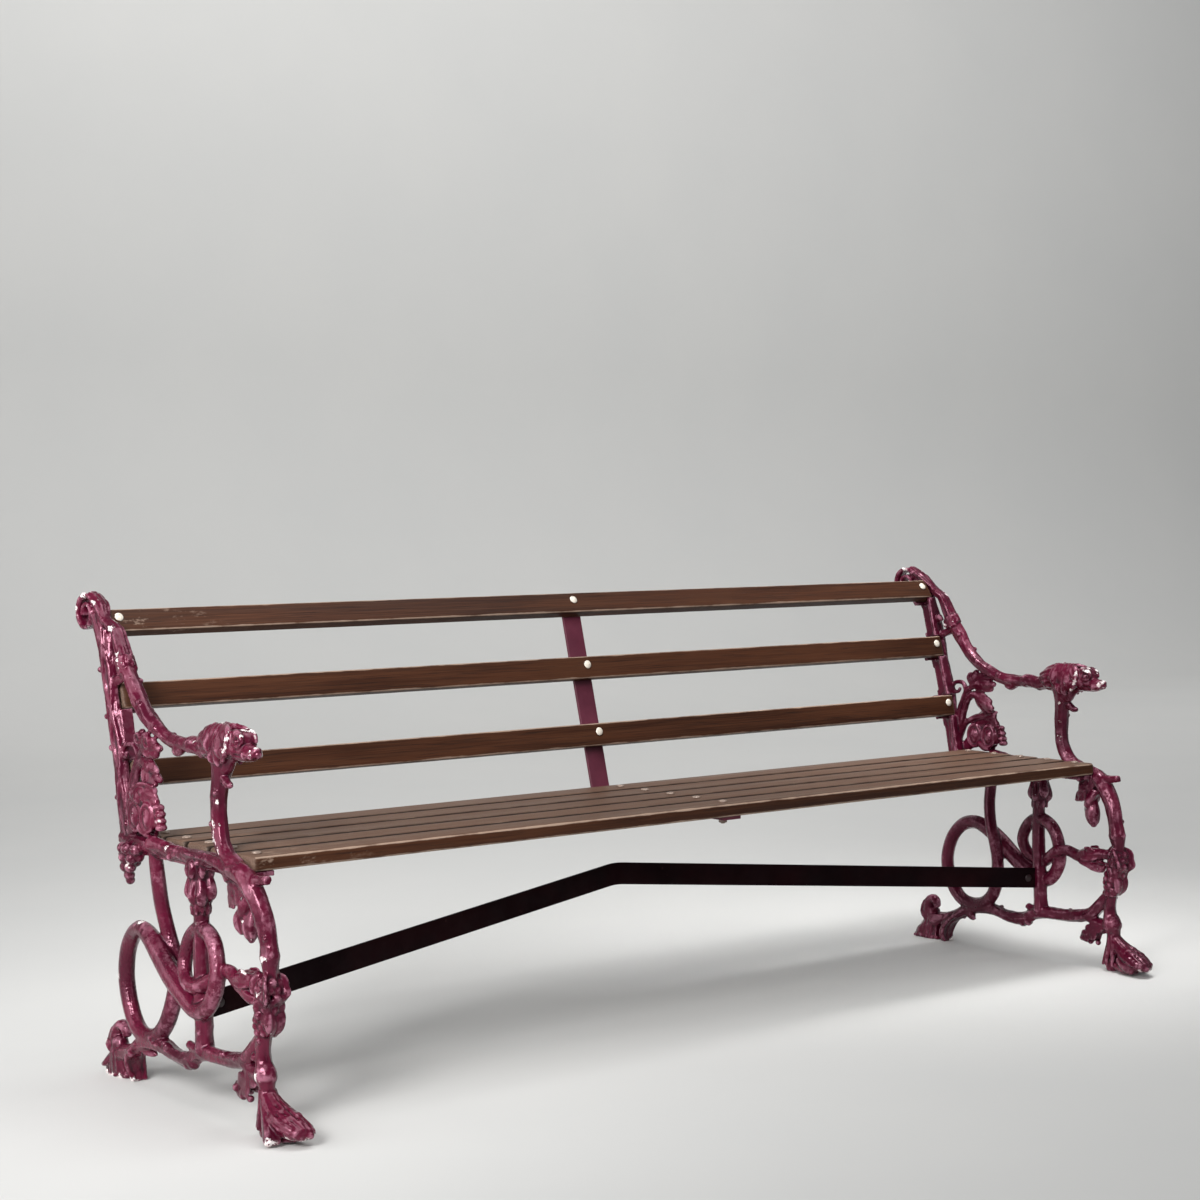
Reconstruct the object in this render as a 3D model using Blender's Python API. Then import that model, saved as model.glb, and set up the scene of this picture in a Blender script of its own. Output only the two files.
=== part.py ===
"""A garden bench: timber slats bolted to two rustic cast-iron end frames, a centre strap and a brace.

X runs along the bench, the front faces -Y and the floor is at Z = 0, in metres. Each end frame is drawn
once, in a side drawing in millimetres: y to the rear, z up, and o inwards from the middle of the casting.
"""

import math

import bmesh
import bpy
import numpy as np
from mathutils import Matrix, Vector

MM = 0.001

# Overall
CASTING_SPACING = 2.016
DRAWING_MIDDLE = 4.9 * MM
FIT = 0.3 * MM

# Seat slats
SEAT_SLAT_COUNT = 5
SEAT_SLAT_WIDTH = 65 * MM
SEAT_SLAT_THICKNESS = 24 * MM
SEAT_SLAT_GAP = 8.5 * MM
SEAT_REAR_EDGE = 165 * MM
LEDGE_HEIGHT = 402.7 * MM
LEDGE_THICKNESS = 9 * MM
LEDGE_WIDTH = 46 * MM
LEDGE_OUTER_FACE = -10 * MM
LEDGE_FRONT_INSET = 6 * MM
LEDGE_REAR_REACH = 20 * MM
SLAT_END_INSET = 7 * MM
SLAT_CHAMFER = 3 * MM

# Back slats
BACK_SLAT_WIDTH = 44 * MM
BACK_SLAT_THICKNESS = 22 * MM
BACK_BOLT_RISE = 5 * MM
# Middle of each slat's rear face in the side drawing, and its lean in degrees, from the lowest up
BACK_SEATS = ((217.3, 517.3, 15.0), (252.4, 644.2, 18.0), (292.0, 763.4, 35.0))

# Upright of the end frame
NOTCH_CLEARANCE = 1.5 * MM
PAD_THICKNESS = 8 * MM
PAD_WIDTH = 42 * MM
PAD_MARGIN = 4 * MM
FIELD_THICKNESS = 9 * MM
FIELD_WIDTH = 28 * MM
UPRIGHT_DEPTH = 40 * MM
WEB_INNER_FACE = 6 * MM
WEB_OUTER_FACE = -3 * MM
FIELD_OUTER_FACE = -1 * MM
PAD_OUTER_FACE = 1 * MM
UPRIGHT_FOOT = (172.0, 412.0)
UPRIGHT_HEAD = (291.0, 800.0)

# Round members of the end frame
BRANCH_RADIUS = 12.0
SERPENT_RADIUS = 14.0
GRAPE_RADIUS = 10.0
TUBE_SIDES = 6
SERPENT_SIDES = 8
LEAF_SIDES = 6

# Centre strap
STRAP_WIDTH = 43 * MM
STRAP_THICKNESS = 6 * MM
STRAP_BEND_RADIUS = 30 * MM
STRAP_FRONT_MARGIN = 8 * MM
STRAP_TOP_MARGIN = 3 * MM
STRAP_BEND_STEPS = 6

# Cross brace
BRACE_HEIGHT = 42 * MM
BRACE_THICKNESS = 7 * MM
BRACE_END_INSET = 14 * MM
BRACE_END = (-40.0, 170.0)
BRACE_BEND = (149.0, 258.0)
LUG_THICKNESS = 9 * MM
LUG_HEIGHT = 30 * MM
LUG_REACH = 44 * MM

# Fasteners
BOLT_RADIUS = 4 * MM
BOLT_HEAD_RADIUS = 8 * MM
BOLT_HEAD_HEIGHT = 4 * MM
BOLT_TAIL = 2 * MM
BOLT_SIDES = 10
HOLE_CLEARANCE = 0.5 * MM
NUT_RADIUS = 8 * MM
NUT_SIDES = 6
NUT_HEIGHT = 7 * MM
SEAT_BOLT_INSET = 30 * MM
BACK_BOLT_INSET = 25 * MM
BRACE_BOLT_INSET = 32 * MM

SEAT_TOP = LEDGE_HEIGHT + FIT + SEAT_SLAT_THICKNESS
SEAT_PITCH = SEAT_SLAT_WIDTH + SEAT_SLAT_GAP
SEAT_FRONT_EDGE = SEAT_REAR_EDGE - SEAT_SLAT_COUNT * SEAT_PITCH + SEAT_SLAT_GAP
HALF_SPACING = CASTING_SPACING / 2
SLAT_LENGTH = 2 * (HALF_SPACING - SLAT_END_INSET)
HOLE_RADIUS = BOLT_RADIUS + HOLE_CLEARANCE
# Lengths of the cutters, which only have to reach past what they cut
HOLE_REACH = 120 * MM
ROOM_REACH = 100 * MM
FLOOR_CUT_REACH = 500 * MM


# Basic shapes

def new_object(name, mesh, material=None):
    obj = bpy.data.objects.new(name, mesh)
    bpy.context.scene.collection.objects.link(obj)
    if material:
        mesh.materials.clear()
        mesh.materials.append(material)
    return obj


def mesh_from(name, bm):
    bmesh.ops.recalc_face_normals(bm, faces=bm.faces)
    mesh = bpy.data.meshes.new(name)
    bm.to_mesh(mesh)
    bm.free()
    return mesh


def shade_smooth(mesh, sharp_angle=35):
    mesh.shade_smooth()
    mesh.set_sharp_from_angle(angle=math.radians(sharp_angle))


def rings_to_mesh(name, rings):
    """A closed skin over rings of points that all have the same count."""
    bm = bmesh.new()
    loops = [[bm.verts.new(point) for point in ring] for ring in rings]
    count = len(loops[0])
    for lower, upper in zip(loops, loops[1:]):
        for k in range(count):
            after = (k + 1) % count
            bm.faces.new((lower[k], lower[after], upper[after], upper[k]))
    bm.faces.new(loops[0])
    bm.faces.new(loops[-1])
    return mesh_from(name, bm)


def prism(name, outline, low, high):
    """An outline of (y, z) points in metres, extruded along X from low to high."""
    return rings_to_mesh(name, [[(x, y, z) for y, z in outline] for x in (low, high)])


def turned(name, profile, sides):
    """A profile of (radius, height) points, from the top of the axis to its bottom, turned about Z."""
    bm = bmesh.new()
    top = bm.verts.new((0, 0, profile[0][1]))
    bottom = bm.verts.new((0, 0, profile[-1][1]))
    rings = []
    for radius, height in profile[1:-1]:
        turns = [2 * math.pi * k / sides for k in range(sides)]
        rings.append([bm.verts.new((radius * math.cos(a), radius * math.sin(a), height)) for a in turns])
    for k in range(sides):
        after = (k + 1) % sides
        bm.faces.new((top, rings[0][k], rings[0][after]))
        for upper, lower in zip(rings, rings[1:]):
            bm.faces.new((upper[k], lower[k], lower[after], upper[after]))
        bm.faces.new((bottom, rings[-1][after], rings[-1][k]))
    return mesh_from(name, bm)


def sweep(name, stations, sides=LEAF_SIDES):
    """A tube through (y, z, o, half size in the side plane, half size across it) in millimetres."""
    route = np.array(stations, float)
    turns = [2 * math.pi * (k + 0.5) / sides for k in range(sides)]
    centres = route[:, [2, 0, 1]] * MM
    tangents = np.gradient(centres, axis=0)
    rings = []
    for centre, tangent, row in zip(centres, tangents, route):
        tangent = tangent / np.linalg.norm(tangent)
        across = np.array([1.0, 0.0, 0.0]) - tangent * tangent[0]
        across /= np.linalg.norm(across)
        along = np.cross(across, tangent)
        in_plane = along * row[3] * MM
        sideways = across * row[4] * MM
        rings.append([centre + in_plane * math.cos(a) + sideways * math.sin(a) for a in turns])
    return rings_to_mesh(name, rings)


def branch(name, stations, sides=TUBE_SIDES):
    """A round member through (y, z, o, radius)."""
    return sweep(name, [(y, z, o, r, r) for y, z, o, r in stations], sides=sides)


def ball(name, centre, radius, stretch=(1.0, 1.0, 1.0)):
    """A ball at (y, z, o), stretched along (o, y, z)."""
    bm = bmesh.new()
    y, z, o = (value * MM for value in centre)
    place = Matrix.Translation((o, y, z)) @ Matrix.Diagonal((*stretch, 1.0))
    bmesh.ops.create_icosphere(bm, subdivisions=1, radius=radius * MM, matrix=place)
    return mesh_from(name, bm)


# The back's seats, shared by the uprights, the strap, the slats and their bolts

def back_seat(row):
    """Middle of a slat's rear face, the direction up along it and the direction to the rear, as (y, z)."""
    y, z, lean = BACK_SEATS[row]
    lean = math.radians(lean)
    up = np.array([math.sin(lean), math.cos(lean)])
    rear = np.array([math.cos(lean), -math.sin(lean)])
    return np.array([y, z]) * MM, up, rear


def back_bolt_place(row):
    seat, up, _ = back_seat(row)
    return seat + up * BACK_BOLT_RISE


def back_front_axis(row):
    """The direction a back slat faces, as (x, y, z)."""
    _, _, rear = back_seat(row)
    return 0.0, -rear[0], -rear[1]


def slab(outline_line, near, far):
    """The strip between two offsets to the rear of a line of (point, rear direction) pairs."""
    front = [point + rear * near for point, rear in outline_line]
    back = [point + rear * far for point, rear in outline_line]
    return front + back[::-1]


def seat_row_middle(row):
    return SEAT_FRONT_EDGE + SEAT_SLAT_WIDTH / 2 + row * SEAT_PITCH


# End frame: the flat parts that carry the slats and the brace

def upright_lines():
    """Front edges of the upright between the slats, each a pair of (y, z) points, from the seat up."""
    reach = BACK_SLAT_WIDTH / 2 + NOTCH_CLEARANCE
    lines = []
    lower = np.array(UPRIGHT_FOOT) * MM
    for row in range(len(BACK_SEATS)):
        seat, up, rear = back_seat(row)
        face = seat - rear * BACK_SLAT_THICKNESS
        lines.append((lower, face - up * reach))
        lower = face + up * reach
    lines.append((lower, np.array(UPRIGHT_HEAD) * MM))
    return lines


def offset_line(line):
    """A line's points with the direction to the rear at right angles to it."""
    low, high = line
    run = (high - low) / np.linalg.norm(high - low)
    rear = np.array([run[1], -run[0]])
    return [(low, rear), (high, rear)]


def upright_meshes():
    lines = upright_lines()
    web = [pair for line in lines for pair in offset_line(line)]
    yield prism("upright web", slab(web, 0, UPRIGHT_DEPTH), WEB_OUTER_FACE, WEB_INNER_FACE)
    for number, line in enumerate(lines[:-1]):
        outline = slab(offset_line(line), 0, FIELD_THICKNESS)
        yield prism(f"upright field {number}", outline, FIELD_OUTER_FACE, FIELD_WIDTH)
    for row in range(len(BACK_SEATS)):
        seat, up, rear = back_seat(row)
        reach = up * (BACK_SLAT_WIDTH / 2 + PAD_MARGIN)
        outline = slab([(seat - reach, rear), (seat + reach, rear)], FIT, FIT + PAD_THICKNESS)
        yield prism(f"slat pad {row}", outline, PAD_OUTER_FACE, PAD_WIDTH)


def seat_ledge_mesh():
    low = SEAT_FRONT_EDGE + LEDGE_FRONT_INSET
    high = SEAT_REAR_EDGE + LEDGE_REAR_REACH
    bottom = LEDGE_HEIGHT - LEDGE_THICKNESS
    outline = [(low, bottom), (high, bottom), (high, LEDGE_HEIGHT), (low, LEDGE_HEIGHT)]
    return prism("seat ledge", outline, LEDGE_OUTER_FACE, LEDGE_WIDTH)


def brace_frame():
    """Left end of the brace on its middle line, its direction, and its level direction to the rear."""
    end = Vector((BRACE_END_INSET, BRACE_END[0] * MM, BRACE_END[1] * MM))
    bend = Vector((HALF_SPACING, BRACE_BEND[0] * MM, BRACE_BEND[1] * MM))
    run = (bend - end).normalized()
    rear = Vector((-run.y, run.x, 0)).normalized()
    return end, run, rear


def brace_bolt_place():
    end, run, _ = brace_frame()
    return end + run * ((BRACE_BOLT_INSET - BRACE_END_INSET) / run.x)


def brace_lug_mesh():
    end, run, rear = brace_frame()
    start = end - run * (BRACE_END_INSET / run.x)
    stop = end + run * ((LUG_REACH - BRACE_END_INSET) / run.x)
    near = BRACE_THICKNESS / 2 + FIT
    rings = []
    for place in (start, stop):
        corners = []
        for depth, rise in ((near, -1), (near + LUG_THICKNESS, -1), (near + LUG_THICKNESS, 1), (near, 1)):
            corners.append(place + rear * depth + Vector((0, 0, rise * LUG_HEIGHT / 2)))
        rings.append(corners)
    return rings_to_mesh("brace lug", rings)


# End frame: the round and leafy parts

def frame_branches():
    """The branches that make the frame, as (name, stations of y, z, o and radius)."""
    b = BRANCH_RADIUS
    return (
        ("upright branch", ((208, 408, -9, b), (226, 470, -8, b), (240, 545, -7, b - 1),
                            (262, 610, -8, b + 1), (272, 660, -7, b - 1), (282, 715, -8, b),
                            (303, 765, -8, b - 1))),
        ("arm sleeve", ((318, 812, -10, 13), (292, 803, -11, 14), (262, 783, -11, 15), (238, 757, -11, 16),
                        (219, 730, -10, 17), (204, 705, -9, 17))),
        ("arm", ((214, 722, -8, b), (196, 692, -7, b), (176, 661, -5, b), (150, 633, -4, b),
                 (120, 613, -3, b), (88, 600, -2, b - 1), (55, 593, -2, b - 1.5), (20, 592, -2, b),
                 (-15, 593, -2, b + 1), (-48, 588, -2, b), (-80, 592, -2, 18), (-104, 600, -2, 23))),
        ("arm strut", ((192, 692, -6, 9), (222, 684, -5, 8), (256, 676, -4, 9))),
        ("arm spur front", ((-24, 588, -4, 9), (-32, 576, -6, 7), (-40, 570, -7, 5))),
        ("arm spur rear", ((22, 586, -3, 9), (36, 574, -5, 8), (46, 564, -6, 7))),
        ("arm post", ((-103, 590, -2, 25), (-104, 562, -5, 19), (-101, 538, -7, 14), (-99, 500, -8, b + 1),
                      (-101, 468, -8, b + 1), (-110, 443, -9, b + 1), (-130, 422, -9, b + 1),
                      (-160, 408, -11, 15), (-188, 398, -12, 16))),
        ("post spur", ((-106, 548, -8, 8), (-124, 537, -9, 5.5), (-139, 533, -10, 3))),
        ("seat rail", ((98, 416, -12, b + 1), (60, 413, -8, b), (20, 411, -8, b), (-40, 411, -8, b - 0.5),
                       (-90, 411, -8, b), (-130, 408, -9, b + 1), (-172, 402, -11, 15))),
        ("rear rail", ((80, 409, -9, b), (130, 410, -9, b), (175, 411, -9, b), (210, 414, -9, b + 1))),
        ("front leg", ((-150, 403, -11, 14), (-182, 400, -12, 17), (-208, 386, -11, 18), (-230, 358, -8, 16),
                       (-243, 328, -6, 14), (-250, 300, -5, 13.5), (-254, 281, -5, 17), (-256, 262, -5, 14),
                       (-255, 230, -5, 15), (-247, 195, -5, 15), (-239, 160, -5, 14), (-234, 132, -5, 13.5),
                       (-235, 110, -5, 17), (-238, 92, -5, 20), (-243, 70, -5, 18), (-256, 48, -4, 19))),
        ("leg knob", ((-205, 390, -11, 11), (-222, 395, -12, 9), (-240, 397, -13, 8.5))),
        ("bottom rail", ((-236, 158, -4, b), (-212, 134, -4, 14), (-182, 111, -4, b + 1), (-140, 100, -4, b),
                         (-95, 98, -4, b), (-58, 98, -4, b + 1), (-28, 90, -4, b), (2, 79, -4, b + 1),
                         (45, 76, -4, b - 2), (92, 82, -4, b - 1), (132, 82, -4, b + 1), (165, 71, -4, b),
                         (196, 53, -4, b + 1), (224, 42, -4, 15), (252, 40, -4, 16))),
        ("ankle web", ((-234, 90, -4, 13), (-208, 95, -4, 11), (-176, 102, -4, 10))),
        ("rail stub", ((-30, 95, -6, 8), (-8, 103, -8, 7.5), (10, 109, -9, 7))),
        ("rail knob", ((0, 82, -4, 9), (-2, 68, -4, 8), (-2, 59, -4, 7))),
        ("rail stub rear", ((142, 80, -4, 10), (150, 66, -4, 9), (153, 56, -4, 8))),
        ("centre post", ((-43, 396, -4, 15), (-41, 350, -4, b + 1), (-40, 300, -3, b + 0.5),
                         (-40, 240, -3, b + 0.5), (-44, 170, -3, b + 1), (-48, 95, -4, b + 2))),
        ("vine stem", ((207, 408, -3, 8.5), (186, 465, -2, 8), (170, 512, -3, 7.5), (156, 552, -3, 7),
                       (140, 585, -3, 7), (128, 612, -3, 7))),
        ("vine arch", ((190, 448, -4, 7), (168, 480, -6, 6), (145, 490, -9, 6), (120, 478, -13, 7))),
        ("tendril", tuple((200 + 13 * math.cos(a), 563 + 13 * math.sin(a), -2 + 1.5 * a, 5.5)
                          for a in np.linspace(-3.4, 2.4, 12))),
        ("bunch core", ((160, 410, -16, 9), (162, 380, -19, 9), (162, 352, -19, 5))),
        ("tendril stalk", ((150, 566, -3, 6), (172, 573, -3, 5.5), (190, 573, -3, 5.5))),
    )


def serpent_stations():
    """The serpent, from its tail at the seat rail through two rings to its open mouth at the leg."""
    s = SERPENT_RADIUS
    return (
        (102, 402, -6, s - 4), (101, 360, 1, s - 3), (98, 315, 5, s - 2.5), (87, 272, 9, s - 2),
        (73, 236, 10, s - 1.5), (67, 200, 8, s - 1), (70, 165, 4, s), (85, 125, 0, s), (112, 100, -2, s),
        (146, 92, -3, s), (181, 102, -3, s), (208, 135, -4, s), (221, 181, -5, s), (210, 229, -6, s),
        (182, 262, -8, s), (148, 272, -11, s), (114, 261, -13, s + 0.5), (78, 238, -13, s + 1),
        (38, 207, -11, s + 1), (0, 182, -9, s + 1), (-36, 164, -9, s + 0.5), (-70, 173, -8, s),
        (-92, 205, -6, s), (-94, 241, -4, s - 0.5), (-78, 275, -3, s - 0.5), (-44, 290, -2, s - 1),
        (-11, 276, 3, s - 1), (6, 245, 7, s - 1.5), (-2, 216, 11, s - 2), (-28, 203, 14, s - 2),
        (-60, 212, 12, s - 2.5), (-95, 233, 8, s - 3), (-125, 243, 4, s - 3.5), (-150, 234, 0, s - 3),
        (-172, 228, -2, s), (-192, 234, -3, s + 1), (-214, 240, -4, s - 3), (-240, 241, -5, s - 7),
    )


def leaves():
    """Flat forms, as (name, stations of y, z, o, half size in the side plane and half size across)."""
    scroll_turns = np.linspace(math.radians(150), math.radians(-330), 15)
    scroll = tuple((335 + r * math.cos(a), 786 + r * math.sin(a), -6, 6.5, 11.5)
                   for a, r in zip(scroll_turns, np.linspace(31.5, 13, 15)))
    yield "scroll", scroll
    yield "muzzle", ((-112, 604, -2, 25, 22), (-140, 603, -2, 22, 19), (-168, 601, -2, 18, 17),
                     (-192, 597, -2, 14, 15), (-208, 594, -2, 11, 12), (-217, 592, -2, 7, 8))
    yield "lower jaw", ((-130, 588, -2, 14, 15), (-165, 583, -2, 9, 12), (-192, 581, -2, 7, 10),
                        (-203, 581, -2, 4, 6))
    for side in (-1, 1):
        yield f"ear {side}", ((-108, 620, -2 + 14 * side, 9, 6), (-97, 608, -2 + 23 * side, 14, 5),
                              (-99, 588, -2 + 27 * side, 15, 5), (-110, 570, -2 + 25 * side, 11, 5),
                              (-116, 558, -2 + 22 * side, 4, 3))
    yield "serpent jaw", ((-168, 222, -2, 10, 10), (-186, 210, -3, 9, 10), (-202, 201, -4, 7, 8),
                          (-216, 198, -5, 3, 4))
    yield "leg leaf", ((-180, 394, -10, 8, 6), (-172, 376, -8, 22, 6), (-156, 362, -7, 20, 6),
                       (-140, 350, -6, 7, 4))
    yield "hanging fruit", ((-196, 372, -6, 7, 7), (-190, 350, -3, 10, 10), (-188, 332, -2, 16, 15),
                            (-188, 314, -2, 16, 15), (-190, 300, -2, 11, 10), (-191, 293, -2, 4, 4))
    yield "ankle leaf", ((-222, 98, -4, 10, 10), (-200, 82, -5, 19, 9), (-176, 66, -6, 18, 8),
                         (-156, 58, -6, 11, 6))
    yield "capital front", ((-46, 396, -4, 10, 12), (-66, 378, -4, 16, 12), (-82, 358, -4, 15, 9),
                            (-90, 338, -4, 5, 5))
    yield "capital rear", ((-40, 396, -4, 10, 12), (-20, 378, -4, 16, 12), (-6, 360, -4, 14, 9),
                           (2, 342, -4, 5, 5))
    yield "capital outer", ((-43, 396, -10, 14, 6), (-43, 375, -18, 20, 7), (-43, 350, -20, 18, 6),
                            (-42, 322, -13, 6, 5))
    yield "capital inner", ((-43, 394, 4, 14, 6), (-43, 372, 11, 20, 7), (-43, 350, 12, 18, 6),
                            (-42, 324, 6, 6, 5))
    yield "vine leaf upper", ((136, 612, -3, 8, 6), (122, 590, -4, 24, 6), (104, 570, -6, 22, 6),
                              (84, 556, -7, 7, 4))
    yield "vine leaf lower", ((158, 552, -3, 8, 6), (138, 546, -4, 14, 6), (120, 534, -6, 19, 6),
                              (104, 514, -7, 7, 4))
    yield "vine leaf base", ((160, 425, -10, 12, 8), (128, 440, -14, 20, 9), (98, 458, -15, 26, 10),
                             (72, 452, -14, 20, 8), (54, 446, -12, 8, 5))
    yield "vine leaf middle", ((120, 470, -14, 12, 8), (104, 494, -14, 22, 9), (84, 502, -12, 16, 8),
                               (68, 500, -11, 6, 5))
    yield "paw", ((-238, 62, -4, 16, 19), (-262, 42, -4, 19, 25), (-290, 25, -4, 20, 30),
                  (-312, 14, -4, 18, 29))
    for spread, reach in ((-27, -336), (-9, -352), (9, -353), (27, -337)):
        yield f"toe {spread}", ((-280, 30, -4 + spread * 0.6, 13, 9), (-308, 25, -4 + spread * 0.9, 15, 10),
                                (reach + 16, 13, -4 + spread, 18, 10), (reach, 7, -4 + spread, 11, 7))
    yield "heel", ((-252, 46, -4, 12, 14), (-238, 22, -4, 13, 15), (-231, -2, -4, 13, 14))
    yield "foot leaf", ((222, 44, -4, 15, 16), (256, 36, -4, 18, 20), (274, 52, -4, 15, 15),
                        (280, 76, -4, 12, 11), (276, 95, -4, 10, 9), (262, 106, -4, 9, 8),
                        (247, 105, -4, 8, 8), (240, 95, -4, 7, 7))
    yield "foot core", ((218, 36, -3, 14, 14), (247, 28, -3, 19, 18), (278, 34, -3, 14, 13))
    lobe_root = 245
    for y, o, width in ((186, -2, 12), (214, -26, 13), (252, -34, 14), (292, -26, 13), (316, -4, 12),
                        (290, 20, 13), (250, 28, 14), (214, 22, 13)):
        root_y = lobe_root + (y - lobe_root) * 0.2
        yield f"foot lobe {y} {o}", ((root_y, 44, -4 + o * 0.1, 12, 12),
                                     ((root_y + y) / 2, 24, o * 0.6 - 1, 12, width),
                                     (y, 2, o, 8, width * 0.6))
    yield "foot frond", ((276, 62, -4, 10, 12), (294, 62, -4, 10, 12), (309, 60, -4, 4, 6))


def grapes():
    """Balls, as (y, z, o, radius)."""
    g = GRAPE_RADIUS
    for row, (y, z) in enumerate(((-258, 244), (-256, 222), (-252, 200), (-247, 178))):
        for turn in range(4):
            angle = math.radians(90 * turn + 45 * (row % 2) + 20)
            yield y + 15 * math.cos(angle), z, -5 + 15 * math.sin(angle), g
    yield -252, 158, -16, g - 1
    for y, z, o in ((140, 400, -20), (160, 402, -24), (180, 400, -21), (148, 384, -22), (168, 384, -23),
                    (186, 386, -18), (156, 368, -21), (172, 367, -20), (162, 354, -19)):
        yield y, z, o, g + 1
    for y, z, o in ((80, 482, -12), (104, 512, -9), (128, 470, -18), (66, 464, -14)):
        yield y, z, o, g + 2


def flat_members():
    yield from upright_meshes()
    yield seat_ledge_mesh()
    yield brace_lug_mesh()


def ornament_members():
    for name, stations in frame_branches():
        yield branch(name, stations)
    yield branch("serpent", serpent_stations(), sides=SERPENT_SIDES)
    for name, stations in leaves():
        yield sweep(name, stations)
    yield ball("skull", (-104, 604, -2), 27, (0.9, 1.12, 1.0))
    for number, (y, z, o, radius) in enumerate(grapes()):
        yield ball(f"grape {number}", (y, z, o), radius)


# Holes and the floor level

def hole(name, place, axis):
    """A cutter through a place, in the frame of what it cuts."""
    half = HOLE_REACH / 2
    profile = ((0, half), (HOLE_RADIUS, half), (HOLE_RADIUS, -half), (0, -half))
    mesh = turned(name, profile, BOLT_SIDES)
    turn = Vector((0, 0, 1)).rotation_difference(Vector(axis)).to_matrix().to_4x4()
    mesh.transform(Matrix.Translation(place) @ turn)
    return mesh


def slat_room():
    """Cutters that keep the slats' places clear, a little short of the faces that carry the slats."""
    front = SEAT_FRONT_EDGE - FIT
    back = SEAT_REAR_EDGE + FIT
    bottom = LEDGE_HEIGHT + FIT / 2
    top = SEAT_TOP + FIT
    outline = [(front, bottom), (back, bottom), (back, top), (front, top)]
    yield prism("seat room", outline, SLAT_END_INSET - FIT, ROOM_REACH)
    for row in range(len(BACK_SEATS)):
        seat, up, rear = back_seat(row)
        reach = up * (BACK_SLAT_WIDTH / 2 + FIT)
        line = [(seat - reach, rear), (seat + reach, rear)]
        outline = slab(line, -BACK_SLAT_THICKNESS - ROOM_REACH, FIT / 2)
        yield prism(f"back room {row}", outline, SLAT_END_INSET - FIT, ROOM_REACH)


def casting_cutters():
    yield from slat_room()
    for row in range(len(BACK_SEATS)):
        y, z = back_bolt_place(row)
        yield hole(f"back hole {row}", (BACK_BOLT_INSET, y, z), back_front_axis(row))
    for row in range(SEAT_SLAT_COUNT):
        yield hole(f"seat hole {row}", (SEAT_BOLT_INSET, seat_row_middle(row), LEDGE_HEIGHT), (0, 0, 1))
    _, _, rear = brace_frame()
    yield hole("brace hole", brace_bolt_place(), -rear)
    reach = FLOOR_CUT_REACH
    floor = [(-reach, -reach), (reach, -reach), (reach, 0), (-reach, 0)]
    yield prism("floor level", floor, -reach, reach)


def helpers(label, meshes):
    """A collection of helper objects that are not part of the bench."""
    collection = bpy.data.collections.new(label)
    bpy.context.scene.collection.children.link(collection)
    for mesh in meshes:
        helper = bpy.data.objects.new(mesh.name, mesh)
        helper.hide_render = True
        helper.display_type = "WIRE"
        collection.objects.link(helper)
    return collection


def add_boolean(obj, label, operation, collection, solver="EXACT"):
    modifier = obj.modifiers.new(label, "BOOLEAN")
    modifier.operation = operation
    modifier.operand_type = "COLLECTION"
    modifier.collection = collection
    modifier.solver = solver


def evaluated_mesh(obj):
    bpy.context.view_layer.update()
    graph = bpy.context.evaluated_depsgraph_get()
    return bpy.data.meshes.new_from_object(obj.evaluated_get(graph))


def remove_helpers(obj, *collections):
    for collection in collections:
        for helper in list(collection.objects):
            bpy.data.objects.remove(helper)
        bpy.data.collections.remove(collection)
    bpy.data.objects.remove(obj)


def casting_mesh():
    """The left end frame about its own middle plane: all members joined, drilled and cut level.

    The members cross at slight angles, where the exact solver leaves seams that touch along an edge.
    """
    ornaments = list(ornament_members())
    joined = new_object("casting blank", ornaments[0])
    others = helpers("ornaments", ornaments[1:])
    flats = helpers("flat members", flat_members())
    cutters = helpers("casting cutters", casting_cutters())
    add_boolean(joined, "join ornaments", "UNION", others, solver="MANIFOLD")
    add_boolean(joined, "join flat members", "UNION", flats, solver="MANIFOLD")
    add_boolean(joined, "drill and level", "DIFFERENCE", cutters, solver="MANIFOLD")
    mesh = evaluated_mesh(joined)
    remove_helpers(joined, others, flats, cutters)
    return mesh


def make_castings(material):
    left = casting_mesh()
    right = left.copy()
    right.transform(Matrix.Diagonal((-1, 1, 1, 1)))
    right.flip_normals()
    for name, mesh, side in (("end_casting_left", left, -1), ("end_casting_right", right, 1)):
        shade_smooth(mesh)
        casting = new_object(name, mesh, material)
        casting.location.x = side * HALF_SPACING


# Slats

def slat_mesh(name, width, thickness, bolts):
    """A slat with its middle at the origin, its top facing +Z, with holes along Z at the bolts' (x, y)."""
    bm = bmesh.new()
    bmesh.ops.create_cube(bm, size=1, matrix=Matrix.Diagonal((SLAT_LENGTH, width, thickness, 1)))
    bmesh.ops.bevel(bm, geom=bm.edges[:], offset=SLAT_CHAMFER, segments=1, affect="EDGES")
    blank = new_object(name + " blank", mesh_from(name, bm))
    holes = helpers(name + " holes", [hole("hole", (x, y, 0), (0, 0, 1)) for x, y in bolts])
    add_boolean(blank, "bolt holes", "DIFFERENCE", holes)
    mesh = evaluated_mesh(blank)
    remove_helpers(blank, holes)
    mesh.name = name
    shade_smooth(mesh)
    return mesh


def bolt_columns(inset):
    reach = HALF_SPACING - inset
    return (("left", -reach), ("centre", 0.0), ("right", reach))


def make_seat_slats(material):
    columns = bolt_columns(SEAT_BOLT_INSET)
    for row in range(SEAT_SLAT_COUNT):
        mesh = slat_mesh("seat slat", SEAT_SLAT_WIDTH, SEAT_SLAT_THICKNESS, [(x, 0) for side, x in columns])
        obj = new_object(f"seat_slat_{row + 1}", mesh, material)
        obj.location = (0, seat_row_middle(row), SEAT_TOP - SEAT_SLAT_THICKNESS / 2)


def back_turn(row):
    """Turns +Z to the front of a back slat and +Y up along it."""
    lean = math.radians(BACK_SEATS[row][2])
    return Matrix.Rotation(math.pi / 2 - lean, 4, "X")


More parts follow.
